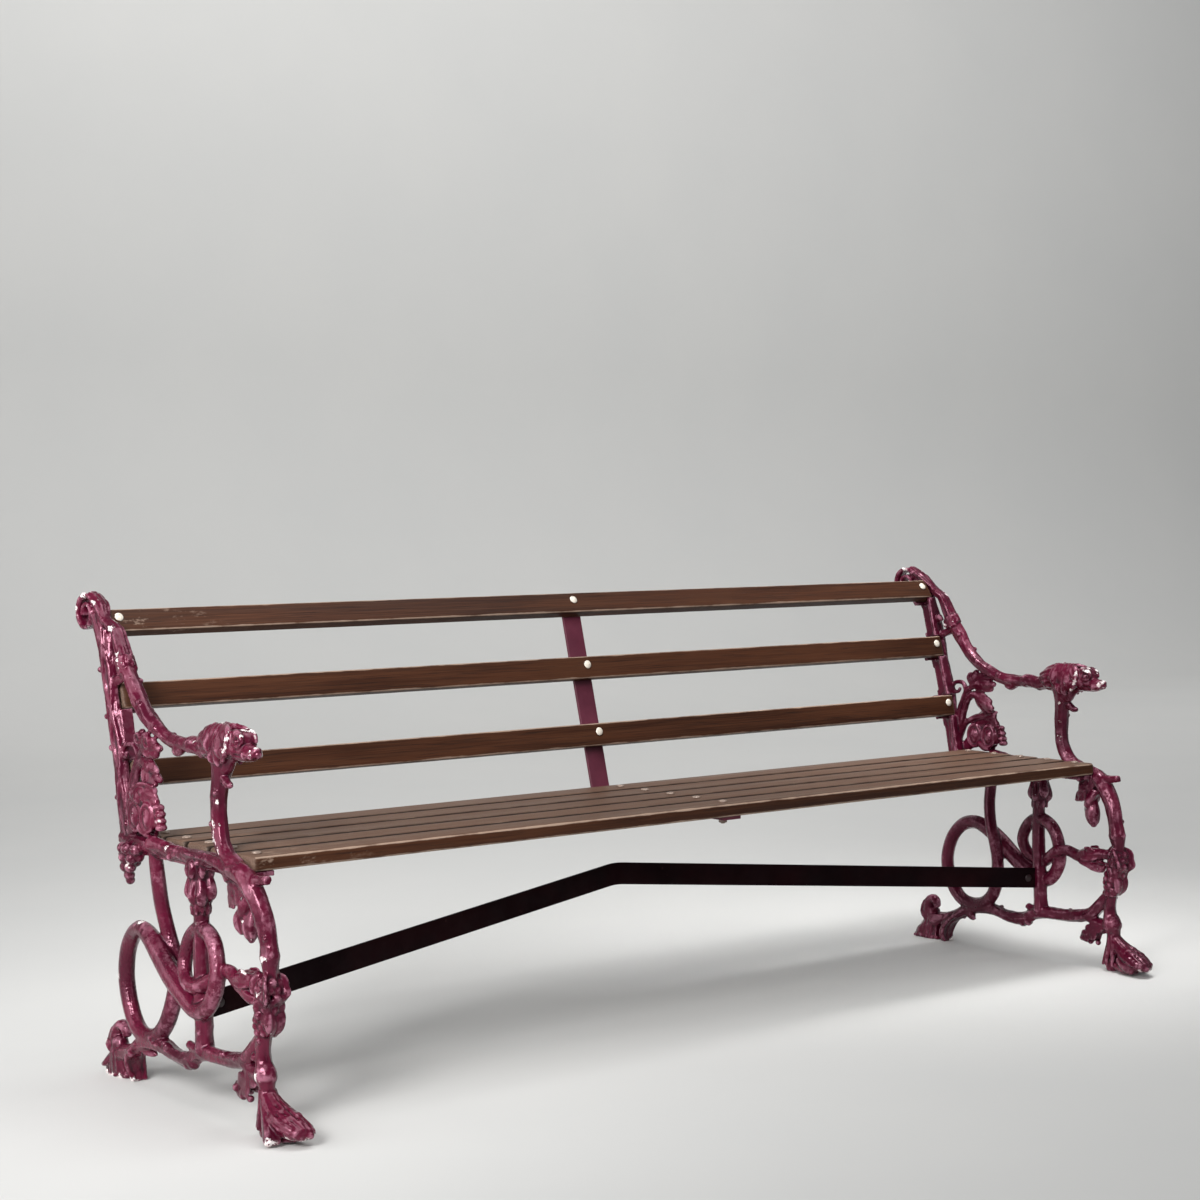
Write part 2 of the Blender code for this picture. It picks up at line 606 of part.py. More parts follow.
def make_back_slats(material):
    columns = bolt_columns(BACK_BOLT_INSET)
    for row in range(len(BACK_SEATS)):
        bolts = [(x, BACK_BOLT_RISE) for side, x in columns]
        mesh = slat_mesh("back slat", BACK_SLAT_WIDTH, BACK_SLAT_THICKNESS, bolts)
        seat, up, rear = back_seat(row)
        middle = seat - rear * BACK_SLAT_THICKNESS / 2
        obj = new_object(f"back_slat_{row + 1}", mesh, material)
        obj.matrix_world = Matrix.Translation((0, *middle)) @ back_turn(row)


# Strap and brace

def strap_line():
    """The strap's face that carries the slats, as (point, direction away from the slats) pairs."""
    seat, up, rear = back_seat(0)
    lean = math.radians(BACK_SEATS[0][2])
    bend_top = LEDGE_HEIGHT + STRAP_BEND_RADIUS * (1 - math.sin(lean))
    first = seat + rear * FIT
    bend_top_y = first[0] - (first[1] - bend_top) * math.tan(lean)
    bend_y = bend_top_y - STRAP_BEND_RADIUS * math.cos(lean)
    line = [(np.array([SEAT_FRONT_EDGE + STRAP_FRONT_MARGIN, LEDGE_HEIGHT]), np.array([0.0, -1.0]))]
    for angle in np.linspace(-math.pi / 2, -lean, STRAP_BEND_STEPS + 1):
        away = np.array([math.cos(angle), math.sin(angle)])
        middle = np.array([bend_y, LEDGE_HEIGHT + STRAP_BEND_RADIUS])
        line.append((middle + away * STRAP_BEND_RADIUS, away))
    for row in range(len(BACK_SEATS)):
        seat, up, rear = back_seat(row)
        for end in (-1, 1):
            reach = BACK_SLAT_WIDTH / 2 - STRAP_TOP_MARGIN
            line.append((seat + rear * FIT + up * end * reach, rear))
    return line


def make_strap(material):
    half = STRAP_WIDTH / 2
    outline = slab(strap_line(), 0, STRAP_THICKNESS)
    blank = new_object("strap blank", prism("centre strap", outline, -half, half))
    cutters = []
    for row in range(SEAT_SLAT_COUNT):
        cutters.append(hole("hole", (0, seat_row_middle(row), LEDGE_HEIGHT), (0, 0, 1)))
    for row in range(len(BACK_SEATS)):
        y, z = back_bolt_place(row)
        cutters.append(hole("hole", (0, y, z), back_front_axis(row)))
    holes = helpers("strap holes", cutters)
    add_boolean(blank, "bolt holes", "DIFFERENCE", holes)
    mesh = evaluated_mesh(blank)
    remove_helpers(blank, holes)
    shade_smooth(mesh)
    new_object("centre_strap", mesh, material)


def mirrored(place):
    return Vector((-place.x, place.y, place.z))


def brace_mesh():
    """A bar on edge between the two end frames, bent to the rear and upwards at the middle."""
    end, _, rear = brace_frame()
    shift = Vector((-HALF_SPACING, 0, 0))
    bend_half = BRACE_THICKNESS / 2 / rear.y
    rings = []
    for depth, rise in ((-1, -1), (1, -1), (1, 1), (-1, 1)):
        lift = Vector((0, 0, rise * BRACE_HEIGHT / 2))
        left = end + shift + rear * depth * BRACE_THICKNESS / 2 + lift
        bend = Vector((0, BRACE_BEND[0] * MM + depth * bend_half, BRACE_BEND[1] * MM)) + lift
        rings.append((left, bend, mirrored(left)))
    return rings_to_mesh("cross brace", list(zip(*rings)))


def make_brace(material):
    blank = new_object("brace blank", brace_mesh())
    _, _, rear = brace_frame()
    left = brace_bolt_place() + Vector((-HALF_SPACING, 0, 0))
    ends = [hole("hole", left, -rear), hole("hole", mirrored(left), mirrored(-rear))]
    holes = helpers("brace holes", ends)
    add_boolean(blank, "bolt holes", "DIFFERENCE", holes)
    mesh = evaluated_mesh(blank)
    remove_helpers(blank, holes)
    new_object("cross_brace", mesh, material)


# Fasteners

def bolt_mesh(name, grip):
    """A domed bolt whose head seats at Z = 0 and whose shank runs down through the grip."""
    shoulder = math.pi / 4
    tip = -grip - BOLT_TAIL
    profile = [(0, BOLT_HEAD_HEIGHT)]
    profile.append((BOLT_HEAD_RADIUS * math.sin(shoulder), BOLT_HEAD_HEIGHT * math.cos(shoulder)))
    profile += [(BOLT_HEAD_RADIUS, FIT), (BOLT_RADIUS, FIT), (BOLT_RADIUS, tip), (0, tip)]
    mesh = turned(name, profile, BOLT_SIDES)
    shade_smooth(mesh)
    return mesh


def nut_mesh():
    """A hexagon nut whose top face is at Z = 0, with a bore that clears the shank."""
    bm = bmesh.new()
    bore = HOLE_RADIUS / math.cos(math.pi / NUT_SIDES)
    rims = []
    for height in (0, -NUT_HEIGHT):
        for radius in (NUT_RADIUS, bore):
            corners = [2 * math.pi * k / NUT_SIDES for k in range(NUT_SIDES)]
            rims.append([bm.verts.new((radius * math.cos(a), radius * math.sin(a), height)) for a in corners])
    top_outer, top_inner, low_outer, low_inner = rims
    faces = ((top_outer, top_inner), (low_outer, low_inner), (top_outer, low_outer), (top_inner, low_inner))
    for first, second in faces:
        for k in range(NUT_SIDES):
            after = (k + 1) % NUT_SIDES
            bm.faces.new((first[k], first[after], second[after], second[k]))
    return mesh_from("nut", bm)


def place_fastener(name, mesh, material, place, axis):
    """Puts a fastener's seat at a place, with its head along the axis."""
    obj = new_object(name, mesh, material)
    turn = Vector((0, 0, 1)).rotation_difference(Vector(axis)).to_matrix().to_4x4()
    obj.matrix_world = Matrix.Translation(place) @ turn


def make_back_fasteners(material):
    for column, x in bolt_columns(BACK_BOLT_INSET):
        backing = STRAP_THICKNESS if column == "centre" else PAD_THICKNESS
        below = BACK_SLAT_THICKNESS + FIT + backing + FIT
        bolt = bolt_mesh(f"back bolt {column}", below + NUT_HEIGHT)
        nut = nut_mesh()
        for row in range(len(BACK_SEATS)):
            _, _, rear = back_seat(row)
            front = back_bolt_place(row) - rear * BACK_SLAT_THICKNESS
            behind = front + rear * below
            axis = back_front_axis(row)
            place_fastener(f"back_bolt_{row + 1}_{column}", bolt, material, (x, *front), axis)
            place_fastener(f"back_nut_{row + 1}_{column}", nut, material, (x, *behind), axis)


def make_seat_fasteners(material):
    up = (0, 0, 1)
    below = SEAT_SLAT_THICKNESS + FIT + STRAP_THICKNESS + FIT
    end_bolt = bolt_mesh("seat end bolt", SEAT_SLAT_THICKNESS + FIT + LEDGE_THICKNESS)
    centre_bolt = bolt_mesh("seat centre bolt", below + NUT_HEIGHT)
    nut = nut_mesh()
    for row in range(SEAT_SLAT_COUNT):
        y = seat_row_middle(row)
        for column, x in bolt_columns(SEAT_BOLT_INSET):
            bolt = centre_bolt if column == "centre" else end_bolt
            place_fastener(f"seat_bolt_{row + 1}_{column}", bolt, material, (x, y, SEAT_TOP), up)
        place_fastener(f"seat_nut_{row + 1}_centre", nut, material, (0, y, SEAT_TOP - below), up)


def make_brace_fasteners(material):
    _, _, rear = brace_frame()
    below = BRACE_THICKNESS + FIT + LUG_THICKNESS + FIT
    bolt = bolt_mesh("brace bolt", below + NUT_HEIGHT)
    nut = nut_mesh()
    head = brace_bolt_place() + Vector((-HALF_SPACING, 0, 0)) - rear * (BRACE_THICKNESS / 2)
    behind = head + rear * below
    place_fastener("brace_bolt_left", bolt, material, head, -rear)
    place_fastener("brace_nut_left", nut, material, behind, -rear)
    place_fastener("brace_bolt_right", bolt, material, mirrored(head), mirrored(-rear))
    place_fastener("brace_nut_right", nut, material, mirrored(behind), mirrored(-rear))


# Materials and assembly

def paint(name, colour, roughness, metallic):
    material = bpy.data.materials.new(name)
    material.use_nodes = True
    shader = material.node_tree.nodes["Principled BSDF"]
    shader.inputs["Base Color"].default_value = (*colour, 1.0)
    shader.inputs["Roughness"].default_value = roughness
    shader.inputs["Metallic"].default_value = metallic
    return material


def main():
    for obj in list(bpy.data.objects):
        bpy.data.objects.remove(obj)
    iron = paint("burgundy enamel", (0.18, 0.03, 0.075), 0.3, 0.0)
    timber = paint("oiled hardwood", (0.09, 0.047, 0.03), 0.5, 0.0)
    strap_iron = paint("strap iron", (0.11, 0.03, 0.05), 0.45, 0.0)
    brace_iron = paint("brace iron", (0.018, 0.006, 0.008), 0.45, 0.0)
    bolt_metal = paint("painted bolts", (0.7, 0.65, 0.56), 0.4, 0.0)
    make_castings(iron)
    make_seat_slats(timber)
    make_back_slats(timber)
    make_strap(strap_iron)
    make_brace(brace_iron)
    make_back_fasteners(bolt_metal)
    make_seat_fasteners(bolt_metal)
    make_brace_fasteners(bolt_metal)
    bpy.context.view_layer.update()
    for obj in bpy.data.objects:
        obj.matrix_world = Matrix.Translation((0, -DRAWING_MIDDLE, 0)) @ obj.matrix_world


main()
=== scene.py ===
"""The dressed garden bench: the look of every piece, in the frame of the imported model.

Each end frame is modelled in a side drawing in millimetres: y to the rear, z up, and o inwards from the
middle of the casting. Closed shells of clay are pressed together there and skinned as one casting.
"""

from math import cos, pi, radians, sin, sqrt, tan

import bmesh
import bpy
import numpy as np
from mathutils import Matrix, Vector, noise


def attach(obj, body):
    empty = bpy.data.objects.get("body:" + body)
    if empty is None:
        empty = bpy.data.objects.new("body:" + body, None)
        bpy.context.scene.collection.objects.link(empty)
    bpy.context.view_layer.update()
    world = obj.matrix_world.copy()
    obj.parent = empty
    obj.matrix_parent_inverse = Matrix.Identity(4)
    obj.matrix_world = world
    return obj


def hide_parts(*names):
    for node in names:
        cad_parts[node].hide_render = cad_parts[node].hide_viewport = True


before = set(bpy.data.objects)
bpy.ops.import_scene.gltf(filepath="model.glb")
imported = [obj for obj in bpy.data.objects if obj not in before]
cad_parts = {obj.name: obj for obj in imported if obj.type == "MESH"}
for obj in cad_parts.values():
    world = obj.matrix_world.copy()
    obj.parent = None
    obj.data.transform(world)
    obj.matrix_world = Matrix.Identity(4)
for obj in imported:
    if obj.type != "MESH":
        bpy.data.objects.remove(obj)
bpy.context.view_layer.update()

MM = 0.001
TAU = 2 * pi

# Sizes shared with the solids, in millimetres, apart from the half spacing in metres
HALF_SPACING = 1.008
DRAWING_MIDDLE = 4.9
FIT = 0.3
LEDGE_HEIGHT = 402.7
SEAT_THICKNESS = 24.0
SEAT_WIDTH = 65.0
SEAT_PITCH = 73.5
SEAT_ROWS = 5
SEAT_FRONT = -194.0
SEAT_REAR = 165.0
BACK_WIDTH = 44.0
BACK_THICKNESS = 22.0
BACK_BOLT_RISE = 5.0
# The seat of each back slat on the upright, as (y, z, lean in degrees)
BACK_SEATS = ((217.3, 517.3, 15.0), (252.4, 644.2, 18.0), (292.0, 763.4, 35.0))
SLAT_HALF_LENGTH = 1001.0
STRAP_WIDTH = 43.0
STRAP_THICKNESS = 6.0
STRAP_BEND = 30.0
BRACE_HEIGHT = 42.0
BRACE_THICKNESS = 7.0
BRACE_INSET = 14.0
BRACE_END = (-40.0, 170.0)
BRACE_BEND = (149.0, 258.0)
BRACE_BOLT_INSET = 32.0
LUG_REACH = 44.0
BOLT_RADIUS = 4.0
HEAD_RADIUS = 8.0
HEAD_HEIGHT = 4.0
NUT_RADIUS = 8.0
NUT_HEIGHT = 7.0
PAD_DEPTH = 8.0
SHELF_DEPTH = 9.0
LUG_DEPTH = 9.0
LUG_HALF_HEIGHT = 15.0
BACK_BOLT_INSET = 25.0
SEAT_BOLT_INSET = 30.0

# The skin of the castings, in millimetres and counts
VOXEL = 1.7
MOST_TRIANGLES = 190000
FILLET_ROUNDS = 10
FILLET_FULL = 0.25
SMOOTH_ROUNDS = 3
SMOOTH_STEP = 0.5
SMOOTH_BACK = 0.52
ROUGH_SPAN = 15.0
ROUGH_RISE = 1.7
ROUGH_DEPTH = 0.9
GROOVE_REACH = 8.0
RELIEF_ROUNDS = 8
CHUNK = 20000

# Details of the look alone, in millimetres, shares or degrees
NUT_CHAMFER = 0.9
BEND_START = 0.98
SEAT_CORNER = 6.0
BACK_CORNER = 3.2
SECTION_INSET = 4.5
END_EASE = (0.0, 0.6, 1.6, 3.0)
BACK_SEED = 20
SLAT_RINGS = 121
SCUFF_REACH = 260
RUB_REACH = 4.0
BAR_CORNER = 1.2
SHARP_ANGLE = 50

# Camera, in pixels of a square photograph, degrees and metres
PHOTO_SIZE = 1200
FOCAL_PIXELS = 2402.59
SENSOR_MM = 36.0
CAMERA_PLACE = (-2.9061, -3.4136, 0.9910)
CAMERA_YAW = 38.8956
CAMERA_PITCH = 2.5789
CAMERA_ROLL = -0.1325


# Routes and shells of clay

def spline(stations, steps):
    """A Catmull-Rom curve through the stations, with every column eased along it."""
    points = np.array(stations, float)
    points = np.vstack([2 * points[0] - points[1], points, 2 * points[-1] - points[-2]])
    t = (np.arange(steps) / steps)[:, None]
    spans = []
    for p0, p1, p2, p3 in zip(points, points[1:], points[2:], points[3:]):
        bend = 2 * p0 - 5 * p1 + 4 * p2 - p3
        twist = 3 * p1 - p0 - 3 * p2 + p3
        spans.append(p1 + 0.5 * ((p2 - p0) * t + bend * t ** 2 + twist * t ** 3))
    return np.vstack(spans + [points[-2:-1]])


def unit(vectors):
    return vectors / np.linalg.norm(vectors, axis=-1, keepdims=True)


def directions(centres):
    """Unit directions along a route, beside it within the side plane, and across the casting."""
    along = unit(np.gradient(centres, axis=0))
    across = unit(np.array([0.0, 0.0, 1.0]) - along * along[:, 2:])
    return along, np.cross(across, along), across


class Clay:
    """Closed shells in the side drawing, as points of (y, z, o) and faces."""

    def __init__(self):
        self.points = []
        self.faces = []
        self.count = 0

    def grid(self, rings):
        """Adds rings of points that close round and are capped at both ends."""
        rings = np.asarray(rings, float)
        rows, sides = rings.shape[:2]
        index = self.count + np.arange(rows * sides).reshape(rows, sides)
        after = np.roll(index, -1, axis=1)
        quads = np.stack([index[:-1], after[:-1], after[1:], index[1:]], axis=-1)
        self.faces += quads.reshape(-1, 4).tolist()
        self.faces.append(index[0, ::-1].tolist())
        self.faces.append(index[-1].tolist())
        self.points.append(rings.reshape(-1, 3))
        self.count += rows * sides

    def tube(self, stations, relief=None, sides=32, steps=6, seam=0.0, blunt=False, square=1.0):
        """A tube through (y, z, o, half size beside, half size across), or (y, z, o, radius).

        Its section is round, or nearer to a square where the power is under 1.
        """
        stations = [row if len(row) == 5 else (*row, row[3]) for row in stations]
        route = spline(stations, steps)
        if not blunt:
            route = domed(route)
        centres = route[:, :3]
        _, beside, across = directions(centres)
        angle = np.arange(sides)[None, :] * TAU / sides
        step = np.linalg.norm(np.diff(centres, axis=0), axis=1)
        travel = np.concatenate([[0.0], np.cumsum(step)])[:, None]
        swell = 1 + seam * np.exp(-(np.sin(angle) / 0.2) ** 2)
        extra = np.zeros_like(travel + angle)
        if relief:
            extra = relief(travel, angle)
        size = np.maximum(route[:, 3:4], route[:, 4:5])
        extra = extra * np.minimum(size / 10.0, 1.0)
        turn_beside = np.sign(np.cos(angle)) * np.abs(np.cos(angle)) ** square
        turn_across = np.sign(np.sin(angle)) * np.abs(np.sin(angle)) ** square
        reach_beside = (route[:, 3:4] * swell + extra) * turn_beside
        reach_across = (route[:, 4:5] * swell + extra) * turn_across
        rings = centres[:, None] + beside[:, None] * reach_beside[..., None]
        self.grid(rings + across[:, None] * reach_across[..., None])

    def ball(self, centre, radius, stretch=(1.0, 1.0, 1.0), sides=16):
        """A ball at (y, z, o), stretched along y, z and o."""
        tilt = np.linspace(-0.97, 0.97, 11)[:, None] * pi / 2
        angle = np.arange(sides)[None, :] * TAU / sides
        shape = np.stack([np.cos(tilt) * np.cos(angle), np.cos(tilt) * np.sin(angle),
                          np.sin(tilt) + 0 * angle], axis=-1)
        self.grid(np.array(centre, float) + shape * radius * np.array(stretch))

    def leaf(self, stations, turn=0.0, lobes=3.0, notch=0.28, cup=0.2, vein=1.6, thick=6.0, steps=7):
        """A lobed blade along a midrib of (y, z, o, half width), turned about it in degrees."""
        route = spline(stations, steps)
        centres = route[:, :3]
        _, beside, across = directions(centres)
        turn = radians(turn)
        sideways = beside * cos(turn) + across * sin(turn)
        upward = across * cos(turn) - beside * sin(turn)
        share = np.linspace(0, 1, len(route))[:, None]
        over = np.linspace(-1, 1, 15)[None, :]
        wave = np.abs(np.sin(pi * lobes * share))
        half = np.maximum(route[:, 3:4] * (1 - notch + notch * wave), 1.5)
        rib = np.exp(-(over / 0.13) ** 2)
        side_veins = np.cos(TAU * (lobes * 1.5 * share - 0.8 * np.abs(over))) * (1 - np.abs(over))
        lift = cup * half * over ** 2 + vein * (rib + 0.55 * side_veins)
        body = thick / 2 * np.sqrt(np.maximum(1 - over ** 2, 0.06))
        middle = centres[:, None] + sideways[:, None] * (half * over)[..., None]
        top = middle + upward[:, None] * (lift + body)[..., None]
        bottom = middle + upward[:, None] * (lift * 0.6 - body)[..., None]
        self.grid(np.concatenate([bottom, top[:, ::-1]], axis=1))

    def prism(self, outline, low, high):
        """An outline of (y, z) points, anticlockwise, from one offset to another."""
        self.grid([[(y, z, o) for y, z in outline] for o in (low, high)])

    def mesh(self, name):
        points = np.vstack(self.points)[:, [2, 0, 1]] * MM
        mesh = bpy.data.meshes.new(name)
        mesh.from_pydata(points.tolist(), [], self.faces)
        return mesh


def domed(route):
    """Adds shrinking stations past both ends of a route, so that its tube ends in domes."""
    caps = []
    for end, before in ((route[0], route[1]), (route[-1], route[-2])):
        outward = (end[:3] - before[:3]) / np.linalg.norm(end[:3] - before[:3])
        rows = []
        for tilt in np.radians((30, 55, 78)):
            row = end.copy()
            row[:3] += outward * 0.75 * min(end[3], end[4]) * sin(tilt)
            row[3:] *= cos(tilt)
            rows.append(row)
        caps.append(rows)
    return np.vstack([caps[0][::-1], route, caps[1]])


def bark(depth, seed):
    """Ridges that wander along a branch, as a depth in millimetres."""
    draw = np.random.default_rng(seed)
    waves = [(count, draw.uniform(0, TAU, 3), draw.uniform(30, 80)) for count in (2, 4, 6, 9)]

    def relief(travel, angle):
        total = 0.0
        for count, phase, length in waves:
            wander = 1.5 * np.sin(travel / length + phase[0]) + 0.8 * np.sin(travel / length * 2.7 + phase[1])
            total = total + np.cos(count * angle + wander + phase[2]) / (1 + 0.1 * count)
        lumps = np.sin(travel / 23 + waves[0][1][0]) * np.sin(travel / 37 + angle + waves[1][1][1])
        return depth * (0.7 * total + 0.45 * lumps)

    return relief


# End frame: the flat parts that carry the slats

# Offsets between which each of them lies
EDGE_OFFSETS = (-1, 21)
FIELD_OFFSETS = (-3, 6)
PAD_OFFSETS = (1, 42)
SHELF_OFFSETS = (-10, 46)


def back_seat(row):
    """Middle of a slat's rear face, the direction up along it and the direction to the rear."""
    y, z, lean = BACK_SEATS[row]
    lean = radians(lean)
    up = np.array([sin(lean), cos(lean)])
    rear = np.array([cos(lean), -sin(lean)])
    return np.array([y, z]), up, rear


def strip(low, high, rear, near, far):
    """An anticlockwise outline between two offsets to the rear of a line."""
    return [low + rear * near, low + rear * far, high + rear * far, high + rear * near]


def add_upright(clay):
    """Fields between the back slats, a pad behind each slat's end, and the shelf under the seat."""
    reach = BACK_WIDTH / 2 + 1.5
    lower = np.array([172.0, 412.0])
    for row in range(len(BACK_SEATS)):
        seat, up, rear = back_seat(row)
        face = seat - rear * BACK_THICKNESS
        upper = face - up * reach
        run = unit(upper - lower)
        behind = np.array([run[1], -run[0]])
        clay.prism(strip(lower, upper, behind, 0, 8), *EDGE_OFFSETS)
        clay.prism(strip(lower - run * 12, upper + run * 12, behind, 8, 40), *FIELD_OFFSETS)
        pad = up * (BACK_WIDTH / 2 + 4)
        clay.prism(strip(seat - pad, seat + pad, rear, FIT, FIT + PAD_DEPTH), *PAD_OFFSETS)
        clay.prism(strip(seat - up * 40, seat + up * 40, rear, FIT, FIT + 22), *FIELD_OFFSETS)
        lower = face + up * reach
    head_low = np.array([262.0, 742.0])
    head_high = np.array([296.0, 792.0])
    clay.prism(strip(head_low, head_high, np.array([0.8, -0.6]), 6, 34), *FIELD_OFFSETS)
    front = SEAT_FRONT + 6
    back = SEAT_REAR + 20
    bottom = LEDGE_HEIGHT - SHELF_DEPTH
    shelf = [(front, bottom), (back, bottom), (back, LEDGE_HEIGHT), (front, LEDGE_HEIGHT)]
    clay.prism(shelf, *SHELF_OFFSETS)


def brace_frame():
    """Left end of the brace on its middle line, its direction and its level direction to the rear."""
    end = Vector((BRACE_INSET, BRACE_END[0], BRACE_END[1]))
    bend = Vector((HALF_SPACING / MM, BRACE_BEND[0], BRACE_BEND[1]))
    run = (bend - end).normalized()
    return end, run, Vector((-run.y, run.x, 0)).normalized()


def add_lug(clay):
    """A flat lug behind the brace's end."""
    end, run, rear = brace_frame()
    near = BRACE_THICKNESS / 2 + FIT
    far = near + LUG_DEPTH
    tall = LUG_HALF_HEIGHT
    rings = []
    for place in (end - run * (BRACE_INSET / run.x), end + run * ((LUG_REACH - BRACE_INSET) / run.x)):
        corners = []
        for depth, rise in ((near, -tall), (near, tall), (far, tall), (far, -tall)):
            corner = place + rear * depth
            corners.append((corner.y, corner.z + rise, corner.x))
        rings.append(corners)
    clay.grid(rings)


# End frame: branches

# Branches, each as the depth of its bark and its stations of (y, z, o, radius)
BRANCHES = (
    # Arm
    (1.1, (
        (212, 709, 2, 13), (192, 684, 1, 13.5), (174, 661, 1.5, 13.5), (149, 633, 2.5, 13),
        (120, 612, 3, 12.5), (88, 598, 3.5, 11.5), (58, 588, 4, 11), (36, 586, 4, 11.5), (12, 586, 4, 11),
        (1, 586, 4, 11.5), (-7, 587, 4, 14), (-20, 587, 4, 14), (-44, 584, 4, 13.5), (-64, 589, 4, 16),
    )),
    # Arm strut
    (0.8, (
        (192, 691, 1, 9), (222, 681, 1, 7.5), (250, 671, 0, 9),
    )),
    # Strut curl
    (0.3, (
        (250, 700, 2, 5), (244, 713, 5, 6.5), (236, 708, 6, 4.5),
    )),
    # Arm post
    (1.0, (
        (-104, 585, 4, 23), (-106, 562, 3, 18.5), (-103, 540, 1, 15), (-100, 505, -1, 14),
        (-101, 468, -1, 14), (-110, 443, -2, 14), (-130, 422, -3, 13.5), (-160, 408, -6, 15),
        (-188, 398, -8, 16),
    )),
    # Post spur
    (0.5, (
        (-104, 553, 0, 9), (-118, 543, -1, 8), (-129, 536, -2, 7), (-137, 534, -2, 5.5),
        (-140, 536, -2, 3.5),
    )),
    # Seat rail
    (1.3, (
        (60, 413, -8, 12), (20, 411, -8, 12), (-40, 411, -8, 11.5), (-90, 411, -8, 12),
        (-130, 408, -8, 13), (-172, 402, -8, 15),
    )),
    # Rear rail
    (1.0, (
        (80, 409, -8, 12), (130, 410, -8, 12), (175, 411, -6, 12), (206, 414, -4, 13),
    )),
    # Front leg
    (0.9, (
        (-150, 403, -8, 14), (-180, 400, -8, 17), (-205, 386, -7, 18), (-227, 358, -4, 16.5),
        (-240, 328, -2, 15.5), (-246, 303, -1, 14.5), (-249, 289, -1, 15.5), (-250, 280, -1, 16.5),
        (-251, 271, -1, 14.5), (-252, 258, -1, 12.5), (-251, 230, -1.5, 12.5), (-243, 195, -2, 12.5),
        (-235, 160, -2, 12), (-231, 135, -2, 12), (-232, 116, -2, 13.5), (-236, 102, -2, 18),
        (-238, 91, -2, 18.5), (-240, 80, -2.5, 14), (-244, 66, -3, 12), (-254, 48, -2, 14),
    )),
    # Bottom rail
    (1.2, (
        (-233, 160, -1, 12), (-210, 135, -1, 13), (-182, 111, -1, 13), (-140, 101, -1, 12),
        (-95, 98, -1, 12), (-58, 98, -1, 13), (-28, 90, -1, 12), (0, 76, -1, 13), (45, 76, -1, 11.5),
        (88, 84, -1, 12.5), (130, 82, -1, 13), (165, 70, 0, 12.5), (196, 56, 3, 12.5), (222, 47, 7, 14),
        (246, 42, 10, 17),
    )),
    # Ankle web
    (0.8, (
        (-232, 92, -2, 12), (-206, 94, -1, 11), (-176, 102, -1, 10),
    )),
    # Centre post
    (0.9, (
        (-43, 402, -2, 14), (-41, 350, -1, 13), (-40, 300, -0.5, 13), (-40, 240, -0.5, 13.5),
        (-44, 170, -0.5, 14.5), (-46, 125, -0.5, 14.5), (-48, 100, -1, 17),
    )),
    # Vine crook
    (0.6, (
        (200, 408, -3, 9), (193, 440, -3, 9), (186, 470, -2, 8), (187, 495, -1, 7), (184, 518, 0, 6.5),
        (173, 540, 1, 6.5), (167, 556, 1, 6), (176, 570, 0, 5.2), (191, 573, -2, 4.6),
        (204, 569, -3, 4.4), (210, 560, -4, 4.2), (205, 551, -5, 4), (196, 551, -6, 3.8),
        (192, 558, -7, 3.4),
    )),
    # Vine branch
    (0.6, (
        (187, 468, -3, 8), (177, 502, -1, 7), (165, 531, 0, 7), (152, 545, 0, 7.5), (138, 546, -1, 8.5),
        (121, 538, -2, 8.5),
    )),
    # Vine link
    (0.4, (
        (169, 551, 1, 6), (158, 560, 1, 6), (146, 567, 0, 7), (128, 575, 0, 8),
    )),
    # Vine arch
    (0.5, (
        (191, 452, -5, 7.5), (177, 479, -7, 6.5), (160, 492, -9, 6.5), (139, 500, -13, 7),
        (118, 500, -16, 8),
    )),
    # Arm lump
    (0.6, (
        (22, 581, 3, 9), (37, 574, 3, 9.5), (49, 573, 3, 5.5),
    )),
    # Bunch core
    (0.3, (
        (160, 410, -16, 9), (162, 380, -19, 9), (162, 356, -19, 5),
    )),
)

# Twigs that were cut off short, with a flat end
STUBS = (
    ((60, 413, -8, 12), (84, 416, -10, 13), (101, 417, -12, 14)),
    ((-205, 392, -6, 12), (-228, 396, -4, 8), (-251, 399, -3, 7)),
    ((-136, 405, -8, 10), (-142, 395, -9, 9.5), (-146, 386, -9, 9)),
    ((-38, 96, -3, 9), (-21, 100, -5, 7.5), (-6, 104, -6, 7)),
)

# Swellings and buds along the branches, as (y, z, o, radius)
BUDS = (
    (-44, 577, 3, 9), (1, 70, -1, 11.5), (-12, 73, -1, 11), (216, 697, 10, 8),
    (228, 480, -6, 5.5), (246, 562, -6, 6), (262, 614, -6, 5.5), (284, 692, -6, 5.5), (190, 440, -11, 5),
    (-108, 520, -11, 5), (-96, 470, -12, 5), (-60, 404, -18, 5), (30, 404, -18, 5.5), (-254, 310, -10, 5),
    (-232, 330, -13, 5), (-120, 108, -10, 5.5), (-160, 108, -11, 5), (70, 90, -9, 5), (112, 93, -11, 6),
    (182, 54, -12, 5.5), (-30, 320, -10, 4.5), (-50, 130, -11, 5), (96, 606, -6, 5), (150, 646, -7, 5),
    (178, 678, 12, 5), (66, 596, 12, 5), (-236, 150, -13, 5), (-220, 122, -12, 6),
)

# Middle of the upright's field behind its front edge, as heights and places
UPRIGHT_HEIGHTS = (404, 470, 545, 600, 650, 715, 755, 785)
UPRIGHT_PLACES = (192, 208, 221, 237, 250, 266, 284, 298)


def add_branches(clay):
    for number, (depth, stations) in enumerate(BRANCHES):
        clay.tube(stations, relief=bark(depth, number), seam=0.05)
    for number, stations in enumerate(STUBS):
        clay.tube(stations, relief=bark(0.8, 50 + number), blunt=True)
    for y, z, o, radius in BUDS:
        clay.ball((y, z, o), radius)


